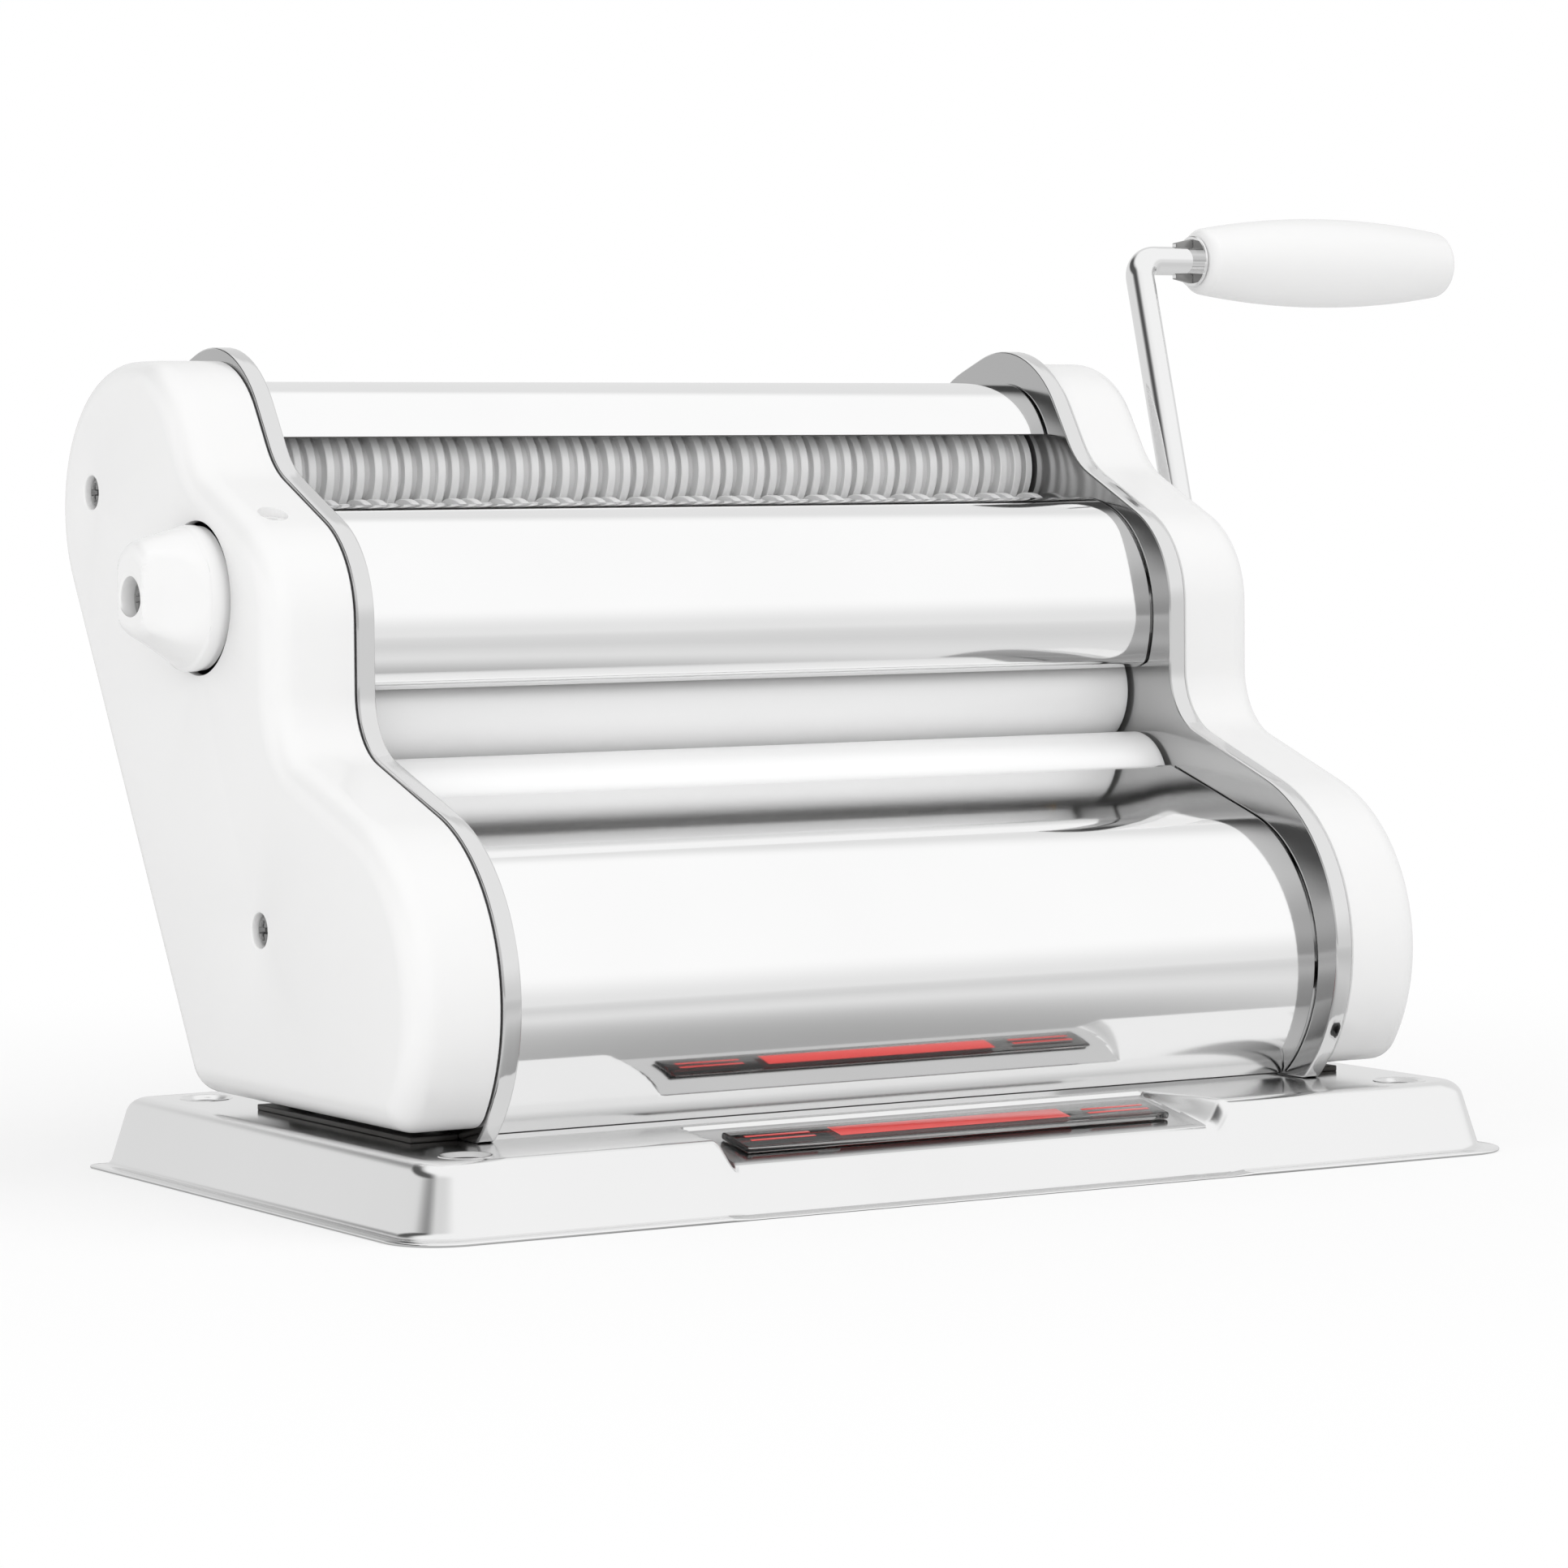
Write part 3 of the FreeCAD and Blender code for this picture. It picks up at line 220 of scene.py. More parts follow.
def tray_loop(inset, z):
    a, b, back = TRAY_X - inset, TRAY_Y - inset, TRAY_Y - BACK_SHARE * inset
    flat = [(x, -b) for x in tray_stations()]
    for i, (sx, sy) in enumerate(((1, -1), (1, 1), (-1, 1), (-1, -1))):
        r = max(LEAST_CORNER, (FRONT_CORNER if sy < 0 else BACK_CORNER) - CORNER_SHARE * inset)
        flat += arc((sx * (a - r), -b + r if sy < 0 else back - r), r, -90 + 90 * i, 90 * i, CORNER_STEPS)
        if i == 1:
            flat += [(x, back) for x in reversed(tray_stations())]
    return [Vector((x, y, z * (1 - recess_depth(x, y) / TRAY_TOP))) for x, y in flat]


def tray_section():
    """(inset, height) of the pressed sheet from the middle of its top out to the flange, and back under."""
    middle = [(i * MM, TRAY_TOP) for i in TOP_INSETS]
    hub = (WALL_FOOT + WALL_RUN + TOP_ROUND, TRAY_TOP - TOP_ROUND)
    foot_hub = (WALL_FOOT - FOOT_ROUND, SHEET + FOOT_ROUND)
    crown = arc(hub, TOP_ROUND, 90, 180 - WALL_LEAN, TOP_STEPS)
    foot = arc(foot_hub, FOOT_ROUND, -WALL_LEAN, -90, FOOT_STEPS)
    rim = arc((SHEET / 2, SHEET / 2), SHEET / 2, 90, 270, RIM_STEPS)
    under_foot = arc(foot_hub, FOOT_ROUND + SHEET, -90, -WALL_LEAN, FOOT_STEPS)
    under_crown = arc(hub, TOP_ROUND - SHEET, 180 - WALL_LEAN, 90, TOP_STEPS)
    under_middle = [(x, z - SHEET) for x, z in reversed(middle)]
    return middle + crown + foot + rim + under_foot + under_crown + under_middle


def tray_mesh(material):
    bm = bmesh.new()
    rows = bridge(bm, [tray_loop(inset, z) for inset, z in tray_section()])
    bm.faces.new(rows[0])
    bm.faces.new(rows[-1])
    return as_mesh("base_tray_sheet", bm, material)


def round_points(radius, count):
    """Points evenly round a circle about (0, 0)."""
    turns = [2 * math.pi * i / count for i in range(count)]
    return [(radius * math.cos(turn), radius * math.sin(turn)) for turn in turns]


def lathe(bm, profile, centre, segments=64, axis="X"):
    """A turned shape: (along, radius) points about an axis through centre; closed if its ends are at 0."""
    rows = []
    for along, radius in profile:
        ring = round_points(radius, segments)
        if axis == "X":
            rows.append([Vector((along, centre[1] + a, centre[2] + b)) for a, b in ring])
        else:
            rows.append([Vector((centre[0] + a, centre[1] + b, along)) for a, b in ring])
    return bridge(bm, rows)


HOLE_X, HOLE_Y = 150 * MM, 78 * MM
HOLES = [(sx * HOLE_X, sy * HOLE_Y) for sx in (-1, 1) for sy in (-1, 1)]
DISH_RADIUS, HOLE_SIDES, DRILL_PAST = 7.4 * MM, 48, 10 * MM
CUT_CREASE = 32.0


def cut_by(mesh, bm):
    """The mesh with the closed shape of a bmesh cut out of it."""
    cutter, carrier = linked("cutter", as_mesh("cutter", bm, mesh.materials[0])), linked("carrier", mesh)
    modifier = carrier.modifiers.new("boolean", "BOOLEAN")
    modifier.object = cutter
    modifier.operation, modifier.solver = "DIFFERENCE", "EXACT"
    result = plain_mesh(carrier)
    bpy.data.objects.remove(cutter)
    result.set_sharp_from_angle(angle=math.radians(CUT_CREASE))
    return result


def drilled(mesh, places, radius):
    """The mesh with upright round holes cut through it."""
    bm = bmesh.new()
    for x, y in places:
        ends = [(-DRILL_PAST, radius), (TRAY_TOP + DRILL_PAST, radius)]
        for row in lathe(bm, ends, (x, y, 0), HOLE_SIDES, "Z"):
            bm.faces.new(row)
    return cut_by(mesh, bm)


def new_tree(name, **inputs):
    """An empty Geometry Nodes tree with named inputs: its flow, and a flow from each input."""
    tree = bpy.data.node_groups.new(name, "GeometryNodeTree")
    for label, kind in inputs.items():
        tree.interface.new_socket(label, in_out="INPUT", socket_type="NodeSocket" + kind)
    tree.interface.new_socket("Geometry", in_out="OUTPUT", socket_type="NodeSocketGeometry")
    given = tree.nodes.new("NodeGroupInput")
    return Flow(tree), *[Flow(tree, given.outputs[label]) for label in inputs]


def tree_end(flow, shape, material, weld=None):
    """The end of such a tree: copies made real, joined where they meet if asked, and painted."""
    shape = flow.node("GeometryNodeRealizeInstances", {}, {"Geometry": shape})
    if weld:
        shape = flow.node("GeometryNodeMergeByDistance", {}, {"Geometry": shape, "Distance": weld})
    painted = flow.node("GeometryNodeSetMaterial", {}, {"Geometry": shape, "Material": material})
    flow.node("NodeGroupOutput", {}, {"Geometry": painted})
    return flow.tree


def copies_tree(name):
    """Geometry Nodes: a pattern set on every point of the input, facing the point's own direction."""
    flow, points, pattern, material = new_tree(name, Points="Geometry", Pattern="Object", Material="Material")
    shape = flow.node("GeometryNodeObjectInfo", {}, {"Object": pattern}, out="Geometry")
    facing = flow.node("GeometryNodeInputNamedAttribute", {"data_type": "FLOAT_VECTOR"}, {"Name": "facing"})
    turned = flow.node("FunctionNodeAlignRotationToVector", {"axis": "Z"}, {"Vector": facing})
    placed = flow.node("GeometryNodeInstanceOnPoints", {},
                       {"Points": points, "Instance": shape, "Rotation": turned})
    return tree_end(flow, placed, material)


COPIES = copies_tree("copies_on_points")


def nodes_result(mesh, tree, **inputs):
    """The mesh after a Geometry Nodes tree, with the tree's inputs given by their names."""
    carrier = linked("carrier", mesh)
    modifier = carrier.modifiers.new("tree", "NODES")
    modifier.node_group = tree
    for item in tree.interface.items_tree:
        if item.in_out == "INPUT" and item.name in inputs:
            modifier[item.identifier] = inputs[item.name]
    return plain_mesh(carrier)


def spread(name, pattern, places, material):
    """Copies of a pattern mesh at places given as (point, facing)."""
    points = bpy.data.meshes.new(name + "_points")
    points.from_pydata([point for point, _ in places], [], [])
    facing = points.attributes.new("facing", "FLOAT_VECTOR", "POINT")
    for i, (_, way) in enumerate(places):
        facing.data[i].vector = way
    carrier = linked(name + "_pattern", pattern)
    result = nodes_result(points, COPIES, Pattern=carrier, Material=material)
    bpy.data.objects.remove(carrier)
    result.name = name
    return result


def second_finish(mesh, material, chosen):
    """The mesh with a second material on the faces that are chosen by their middle and normal."""
    mesh.materials.append(material)
    for face in mesh.polygons:
        face.material_index = int(chosen(face.center, face.normal))
    return mesh


ALONG_TRAY = (1.0, 12.0, 12.0)
TRAY_STEEL = polished_steel("tray_steel", 0.86, 0.12, ALONG_TRAY)
# The recess floor takes a darker copy of the tray steel: painted shade for the dim reflection it shows.
RECESS_SHADE_STEEL = polished_steel("recess_steel", 0.58, 0.16, ALONG_TRAY)
LEVEL, IN_RECESS = 0.9, 0.8 * RECESS_STEP


def on_recess_floor(middle, normal):
    return normal.z > LEVEL and recess_depth(middle.x, middle.y) > IN_RECESS


pressed = second_finish(drilled(tray_mesh(TRAY_STEEL), HOLES, DISH_RADIUS), RECESS_SHADE_STEEL, on_recess_floor)
show("pressed_tray", pressed, "frame", "polished_steel", "base_tray")
DISH_TOP = [(-0.35, 7.55), (0.12, 7.5), (0.22, 7.2), (0.1, 6.8), (-0.5, 5.9), (-1.25, 4.6), (-1.6, 3.4),
            (-1.9, 2.9), (-2.6, 2.75)]
DISH_BACK = [(-2.6, 3.6), (-2.2, 4.6), (-1.5, 5.6), (-1.0, 6.6), (-0.6, 7.4), (-0.35, 7.55)]
DISH_CREASE = 60.0
bm = bmesh.new()
lathe(bm, [(z * MM, r * MM) for z, r in DISH_TOP + DISH_BACK], (0, 0, 0), HOLE_SIDES, "Z")
dishes = spread("screw_dishes", as_mesh("screw_dish", bm, TRAY_STEEL, DISH_CREASE),
                [((x, y, TRAY_TOP), (0, 0, 1)) for x, y in HOLES], TRAY_STEEL)
show("screw_dishes", dishes, "frame", "polished_steel")


# Rubber feet: four moulded sleeves under the tray, one round each hole, that carry the tray's top
# and keep the machine from sliding. Black rubber with a dull, slightly dusty skin.
RECORD = frame["record"]
BODY_OF = {node: body for body, nodes in RECORD["behaviour"]["bodies"].items() for node in nodes}
SLOT_OF = {part["node"]: part["material_slot"] for part in RECORD["subparts"]}
SAME_PLANE, SHARP_EDGE = math.radians(1.0), math.radians(40)


def packed_copy(node):
    """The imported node's triangles as a bmesh, welded into whole faces."""
    bm = bmesh.new()
    bm.from_mesh(frame["nodes"][node].data)
    bmesh.ops.remove_doubles(bm, verts=bm.verts, dist=WELD)
    return bm


def eased(node, width, material):
    """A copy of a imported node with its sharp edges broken, shown in the node's place."""
    bm = packed_copy(node)
    bmesh.ops.dissolve_limit(bm, angle_limit=SAME_PLANE, verts=bm.verts, edges=bm.edges)
    sharp = [e for e in bm.edges if len(e.link_faces) == 2 and e.calc_face_angle(0.0) > SHARP_EDGE]
    bmesh.ops.bevel(bm, geom=sharp, offset=width, segments=2, profile=0.5, affect="EDGES", clamp_overlap=True)
    show(node + "_eased", as_mesh(node + "_eased", bm, material), BODY_OF[node], SLOT_OF[node], node)


finish = Finish("foot_rubber")
dust = finish.cloud(60.0, 5.0)
RUBBER = finish.coat(base_color=finish.blend(dust, grey(0.025), grey(0.06)), roughness=0.65 + dust * 0.25,
                     normal=finish.bump(finish.cloud(1500.0), 0.15, 0.0001))
eased("rubber_feet", 0.6 * MM, RUBBER)


# Clear plate: a strip of smoky moulded plastic that lies on the recess floor, with a plain red band
# and short red lines printed on it. Its edges are rounded and it is glued down.
def rounded_bar(low, high, edge):
    """A box between two corners with its edges rounded, as a bmesh."""
    bm = bmesh.new()
    bmesh.ops.create_cube(bm, size=1.0)
    for vert in bm.verts:
        vert.co = Vector([low[i] if vert.co[i] < 0 else high[i] for i in range(3)])
    bmesh.ops.bevel(bm, geom=list(bm.edges), offset=edge, segments=3, profile=0.5, affect="EDGES")
    return bm


finish = Finish("smoky_clear")
haze = finish.cloud(40.0, 3.0)
SMOKY = finish.coat(base_color=finish.blend(haze, grey(0.42, 0.004), grey(0.5, 0.004)),
                    roughness=0.02 + haze * 0.03, transmission_weight=1.0, ior=1.49)
finish = Finish("red_print")
wear = finish.cloud(220.0, 4.0)
RED_PRINT = finish.coat(base_color=finish.blend(wear, (0.74, 0.025, 0.022, 1), (0.82, 0.04, 0.03, 1)),
                        roughness=0.3 + wear * 0.1, coat_weight=0.6, coat_roughness=0.05)
plate_low, plate_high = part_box("badge_plate")
PLATE_THICK, PLATE_SOFT, PRINT_PROUD, PRINT_EDGE = 2 * MM, 0.7 * MM, 0.04 * MM, 0.02 * MM
BAND_LONG, BAND_WIDE, BAND_AT = 74, 7.5, 0.5
LINE_LONG, LINE_WIDE, LINE_OFF = 20, 1.2, 54
LINE_ROWS = (("front", 0.36), ("rear", 0.6))
tilt = math.atan2(RECESS_DROP - RECESS_STEP, RECESS_BACK)
PLATE_RUN = (plate_high[1] - plate_low[1] - PLATE_THICK * math.sin(tilt)) / math.cos(tilt)
plate_foot = Matrix.Translation((0, plate_low[1] + PLATE_THICK * math.sin(tilt), plate_low[2]))
set_down = plate_foot @ Matrix.Rotation(tilt, 4, "X")


def lying(name, low, high, edge, material, *nodes):
    bm = rounded_bar(low, high, edge)
    bmesh.ops.transform(bm, matrix=set_down, verts=bm.verts)
    show(name, as_mesh(name, bm, material), "frame", "smoky_clear", *nodes)


def printed(name, middle, length, at, width):
    """A red bar on the plate's top; at is its place along the slope, from 0 at the front to 1."""
    left, right = (middle - length / 2) * MM, (middle + length / 2) * MM
    front, rear = at * PLATE_RUN - width / 2 * MM, at * PLATE_RUN + width / 2 * MM
    low, high = (left, front, PLATE_THICK - PRINT_PROUD), (right, rear, PLATE_THICK + PRINT_PROUD)
    lying(name, low, high, PRINT_EDGE, RED_PRINT)


half = plate_high[0]
lying("clear_plate", (-half, 0, 0), (half, PLATE_RUN, PLATE_THICK), PLATE_SOFT, SMOKY, "badge_plate")
printed("red_band", 0, BAND_LONG, BAND_AT, BAND_WIDE)
for side, off in (("left", -LINE_OFF), ("right", LINE_OFF)):
    for row, at in LINE_ROWS:
        printed(f"{side}_line_{row}", off, LINE_LONG, at, LINE_WIDE)


# Foot bars: two flat steel strips, screwed and nutted through the tray, that the side plates stand against.
# They are rolled steel, coloured near black as painted shade for the dark gap under the covers, where they
# sit.
def plain_steel(name, level, rough, grain=(1.0, 20.0, 20.0)):
    finish = Finish(name)
    patch = finish.cloud(25.0, 5.0)
    lines = finish.cloud(500.0, 3.0, grain)
    colour = finish.blend(patch, grey(level - 0.06, 0.004), grey(level + 0.05, 0.002))
    return finish.coat(base_color=colour, metallic=1.0, roughness=rough + lines * 0.14,
                       normal=finish.bump(lines, 0.08, 0.00005))


# Near black: painted shade for the gap under the covers.
BAR_SHADE_STEEL = plain_steel("bar_steel", 0.08, 0.4, (20.0, 1.0, 20.0))
for node in ("left_foot_bar", "right_foot_bar", "foot_bar_screws", "foot_bar_nuts"):
    eased(node, 0.3 * MM, BAR_SHADE_STEEL)


# Side plates: two thick stainless plates cut to the machine's outline, holed for the bushes and screws. Their
# rims are polished bright with the edges broken, and their faces are a darker copy of the same steel, painted
# shade for the dim reflections they show.
AT_FACE = 1e-5


def loops_at(node, x):
    """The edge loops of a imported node's flat face at x, longest first, as lists of points (y, z)."""
    bm = packed_copy(node)
    flat = {f for f in bm.faces if all(abs(v.co.x - x) < AT_FACE for v in f.verts)}
    ways = {}
    for edge in bm.edges:
        if sum(face in flat for face in edge.link_faces) == 1:
            for vert in edge.verts:
                ways.setdefault(vert, []).append(edge.other_vert(vert))
    loops = []
    while ways:
        start = next(iter(ways))
        loop, step = [start], ways[start][0]
        while step is not start:
            onward = [v for v in ways[step] if v is not loop[-1]]
            loop.append(step)
            step = onward[0]
        for vert in loop:
            del ways[vert]
        loops.append([(v.co.y, v.co.z) for v in loop])
    bm.free()
    return sorted(loops, key=run_length, reverse=True)


def round_pairs(loop):
    """Each item of a closed loop with the one after it."""
    return zip(loop, loop[1:] + loop[:1])


def run_length(loop):
    return sum(math.dist(a, b) for a, b in round_pairs(loop))


LONGEST_RUN = 3 * MM


def parted(loop):
    """The loop with its long straight runs divided, run the same way round for every piece."""
    area = sum(a[0] * b[1] - b[0] * a[1] for a, b in round_pairs(loop))
    loop = loop if area > 0 else loop[::-1]
    points = []
    for a, b in round_pairs(loop):
        steps = max(1, math.ceil(math.dist(a, b) / LONGEST_RUN))
        points += [(a[0] + (b[0] - a[0]) * i / steps, a[1] + (b[1] - a[1]) * i / steps) for i in range(steps)]
    return points


def inset(loop, depth):
    """The loop moved inwards by depth, along the mitre of the two edges at each point."""
    moved = []
    for i, point in enumerate(loop):
        before, after = loop[i - 1], loop[(i + 1) % len(loop)]
        first, second = outward(before, point), outward(point, after)
        share = depth / (1 + first[0] * second[0] + first[1] * second[1])
        moved.append((point[0] - (first[0] + second[0]) * share, point[1] - (first[1] + second[1]) * share))
    return moved


def outward(start, end):
    far = math.dist(start, end)
    return ((end[1] - start[1]) / far, (start[0] - end[0]) / far)


def ringed(loop, section):
    """Rows of points from one outline: section gives (x, inset) for each row."""
    return [[Vector((x, y, z)) for y, z in inset(loop, depth)] for x, depth in section]


def quarter_turns(steps):
    """The cosine and sine at even steps of a quarter turn."""
    turns = [math.pi / 2 * i / steps for i in range(steps + 1)]
    return [(math.cos(turn), math.sin(turn)) for turn in turns]


def rounded_edges(low, high, radius, steps=4):
    """(x, inset) from one flat face to the other over rounded edges, with a row that keeps the run flat."""
    section = [(low + radius * (1 - cos), radius * (1 - sin)) for cos, sin in quarter_turns(steps)]
    section.append((low + 3 * radius, 0))
    return section + [(low + high - x, depth) for x, depth in reversed(section)]


def capped(bm, *rows):
    """A flat face inside the first row of vertices and outside the others."""
    edges = [edge for row in rows for a, b in round_pairs(row) for edge in a.link_edges
             if edge.other_vert(a) is b]
    bmesh.ops.triangle_fill(bm, edges=edges, use_beauty=True)


PLATE_EDGE, PLATE_CREASE = 0.7 * MM, 30.0
PLATE_STEEL = polished_steel("plate_steel", 0.74, 0.05)
# The flat faces: the plate steel made darker, as painted shade.
FACE_SHADE_STEEL = polished_steel("plate_face_steel", 0.52, 0.09)
SIDEWAYS = 0.95


def on_plate_face(middle, normal):
    return abs(normal.x) > SIDEWAYS


for side in ("left", "right"):
    node = side + "_side_plate"
    low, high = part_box(node)
    rim, *bores = loops_at(node, low[0])
    bm = bmesh.new()
    outer = bridge(bm, ringed(parted(rim), rounded_edges(low[0], high[0], PLATE_EDGE)))
    walls = [bridge(bm, ringed(parted(bore), ((low[0], 0), (high[0], 0)))) for bore in bores]
    for end in (0, -1):
        capped(bm, outer[end], *[wall[end] for wall in walls])
    plate = second_finish(as_mesh(node, bm, PLATE_STEEL, PLATE_CREASE), FACE_SHADE_STEEL, on_plate_face)
    show(side + "_polished_plate", plate, "frame", "polished_steel", node)


# Tie rods and bushes: steel rods screwed between the plates to hold them apart, and turned bronze
# bushes pressed into the plates for the journals to run in.
TURNED_STEEL = plain_steel("turned_steel", 0.58, 0.26, (60.0, 1.0, 1.0))
for node in ("tie_rods", "tie_rod_screws"):
    eased(node, 0.4 * MM, TURNED_STEEL)
finish = Finish("oiled_bronze")
tarnish = finish.cloud(90.0, 5.0)
BRONZE = finish.coat(base_color=finish.blend(tarnish, (0.42, 0.27, 0.12, 1), (0.62, 0.43, 0.22, 1)),
                     metallic=1.0, roughness=0.3 + tarnish * 0.2)
for node in ("upper_roller_bushes", "lower_roller_bushes", "cutter_bushes", "spindle_bushes"):
    eased(node, 0.25 * MM, BRONZE)


# Smooth rollers: two aluminium barrels with turned journals, satin anodised to a pale grey. The
# upper one carries the crank's socket on the right, and the lower one moves with the gap knob.
JOINT = {joint["name"]: joint for joint in RECORD["behaviour"]["joints"]}
SIDE_GAP = 1 * MM
BARREL_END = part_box("right_side_plate")[0][0] - SIDE_GAP
JOURNAL, SOCKET, CHAMFER = 7 * MM, 4.5 * MM, 0.8 * MM


def axis_of(joint):
    return JOINT[joint]["pos_m"]


def satin_aluminium(name, level, rough):
    finish = Finish(name)
    blush = finish.cloud(9.0, 3.0)
    turning = finish.cloud(2200.0, 1.0, (1.0, 0.02, 0.02))
    colour = finish.blend(blush, grey(level - 0.02), grey(level + 0.02))
    return finish.coat(base_color=colour, metallic=0.12, roughness=rough + turning * 0.08,
                       specular_ior_level=0.5, normal=finish.bump(turning, 0.05, 0.00002))


ROLLER_SATIN = satin_aluminium("roller_satin", 0.92, 0.34)


def roller_profile(node, radius, socket_depth):
    left, right = [corner[0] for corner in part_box(node)]
    edge = [(BARREL_END, radius - CHAMFER), (BARREL_END - CHAMFER / 3, radius - CHAMFER / 3),
            (BARREL_END - CHAMFER, radius), (BARREL_END - 3 * CHAMFER, radius)]
    profile = [(left, 0), (left, JOURNAL - CHAMFER), (left + CHAMFER, JOURNAL), (-BARREL_END, JOURNAL)]
    profile += [(-x, r) for x, r in edge] + edge[::-1]
    profile += [(BARREL_END, JOURNAL), (right - CHAMFER, JOURNAL), (right, JOURNAL - CHAMFER)]
    if socket_depth:
        profile += [(right, SOCKET), (right - socket_depth, SOCKET)]
    return profile + [(profile[-1][0], 0)]


ROLLER_RADIUS, SOCKET_DEPTH, ROLLER_SIDES = 16.4 * MM, 14 * MM, 128
for node, joint, deep in (("upper_roller", "crank_turn", SOCKET_DEPTH),
                          ("lower_roller", "lower_roller_spin", 0)):
    bm = bmesh.new()
    lathe(bm, roller_profile(node, ROLLER_RADIUS, deep), axis_of(joint), ROLLER_SIDES)
    barrel = as_mesh(node + "_barrel", bm, ROLLER_SATIN)
    show(node + "_barrel", barrel, BODY_OF[node], "satin_aluminium", node)


# Ribbon cutters: two shafts with rings of twin lands, each ring standing in the other shaft's gap so that the
# dough is sheared into ribbons. Turned from bar and satin anodised; the ring sides and groove floors are a
# darker copy of the satin, painted shade between the rings.
def row_tree(name):
    """Geometry Nodes: the input repeated in a row, joined where the copies meet."""
    flow, pattern, count, start, step, material = new_tree(
        name, Pattern="Geometry", Count="Int", Start="Vector", Step="Vector", Material="Material")
    line = flow.node("GeometryNodeMeshLine", {}, {"Count": count, "Start Location": start, "Offset": step})
    placed = flow.node("GeometryNodeInstanceOnPoints", {}, {"Points": line, "Instance": pattern})
    return tree_end(flow, placed, material, WELD)


ROW = row_tree("row_of_rings")
PERIOD, RING_WIDTH, LAND_WIDTH, RIB_WIDTH = 15.2 * MM, 7.5 * MM, 2.45 * MM, 2.5 * MM
LAND, GROOVE, RIB, FLOOR = 14.3 * MM, 12.2 * MM, 13.1 * MM, 10.6 * MM
CUTTER_JOURNAL, BREAK = 5 * MM, 0.22 * MM
CUTTER_SIDES, CUTTER_CREASE, CUTTER_WELD = 72, 35.0, 2e-6
RING_SIDE = 0.9
CUTTER_SATIN = satin_aluminium("cutter_satin", 0.92, 0.42)
# Ring sides and groove floors: the same satin made darker, as painted shade in the gaps.
GAP_SHADE_SATIN = satin_aluminium("gap_satin", 0.82, 0.5)


def raised(start, end, base, top):
    """A land between two places, with its corners broken."""
    return [(start, base), (start, top - BREAK), (start + BREAK, top), (end - BREAK, top), (end, top - BREAK),
            (end, base)]


def cell_profile():
    """One period between the middles of two gaps: half a rib, two lands with a groove, half a rib."""
    half, rib, start = PERIOD / 2, RIB_WIDTH / 2, -RING_WIDTH / 2
    left = [(-half, RIB), (-half + rib - BREAK, RIB), (-half + rib, RIB - BREAK), (-half + rib, FLOOR)]
    left += raised(start, start + LAND_WIDTH, FLOOR, LAND)[:-1] + [(start + LAND_WIDTH, GROOVE)]
    return left + [(-x, r) for x, r in reversed(left)]


def cutter_ends(node, reach):
    """The two shaft ends, from the row of rings out to the journals, with a part ring where one fits."""
    rib_end = min(reach + RIB_WIDTH / 2, BARREL_END)
    ring = reach + (PERIOD - RING_WIDTH) / 2
    shaft = [(reach, RIB), (rib_end, RIB), (rib_end, FLOOR)]
    if ring < BARREL_END:
        shaft += raised(ring, ring + LAND_WIDTH, FLOOR, LAND)[:-1]
        shaft += [(ring + LAND_WIDTH, GROOVE), (BARREL_END, GROOVE)]
    for way, tip in zip((-1, 1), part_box(node)):
        end = abs(tip[0])
        profile = shaft + [(BARREL_END, CUTTER_JOURNAL), (end, CUTTER_JOURNAL), (end, 0)]
        yield [(way * x, radius) for x, radius in profile]


for node, count in (("upper_cutter", 17), ("lower_cutter", 16)):
    centre = axis_of(node + "_spin")
    reach = count * PERIOD / 2
    cell = bmesh.new()
    lathe(cell, cell_profile(), centre, CUTTER_SIDES)
    row = nodes_result(as_mesh("cutter_cell", cell, CUTTER_SATIN), ROW, Count=count,
                       Start=(PERIOD / 2 - reach, 0.0, 0.0), Step=(PERIOD, 0.0, 0.0), Material=CUTTER_SATIN)
    bm = bmesh.new()
    bm.from_mesh(row)
    for profile in cutter_ends(node, reach):
        lathe(bm, profile, centre, CUTTER_SIDES)
    rings = as_mesh(node + "_rings", bm, CUTTER_SATIN, CUTTER_CREASE, CUTTER_WELD)
    # The ring sides and the groove floors get the painted shade.
    second_finish(rings, GAP_SHADE_SATIN, lambda middle, normal: (
        abs(normal.x) > RING_SIDE or math.dist(middle[1:], centre[1:]) < GROOVE + BREAK))
    show(node + "_rings", rings, BODY_OF[node], "satin_aluminium", node)


# Gear train, gap cams and links: plain steel pieces between the right plate and its cover, and the
# spindle that the gap knob turns. Cut or punched from bar and plate, and lightly oiled.
finish = Finish("oiled_gear_steel")
film = finish.cloud(30.0, 4.0)
scratch = finish.cloud(700.0, 2.0, (0.1, 1.0, 1.0))
GEAR_STEEL = finish.coat(base_color=finish.blend(film, grey(0.34, 0.006), grey(0.50, 0.003)), metallic=1.0,
                         roughness=0.22 + film * 0.16, normal=finish.bump(scratch, 0.1, 0.00005))
for node in ("upper_roller_gear", "lower_roller_gear", "drive_gear", "idler_gear", "cutter_drive_gear",
             "upper_cutter_gear", "lower_cutter_gear", "idler_pin", "idler_clip", "left_cam", "right_cam",
             "left_link", "right_link", "regulator_spindle", "grip_clip"):
    for place in frame["nodes"][node].material_slots:
        place.material = GEAR_STEEL


# Guide sheets: three bent strips of stainless steel between the plates, over the tray, above the rollers and
# over the cutters. Polished to a mirror in front after bending; behind, they are coloured near black as
# painted shade for the cavities behind them.
SHEET_TRIM, SHEET_EDGE, END_FACE = 0.4 * MM, 0.15 * MM, 0.5


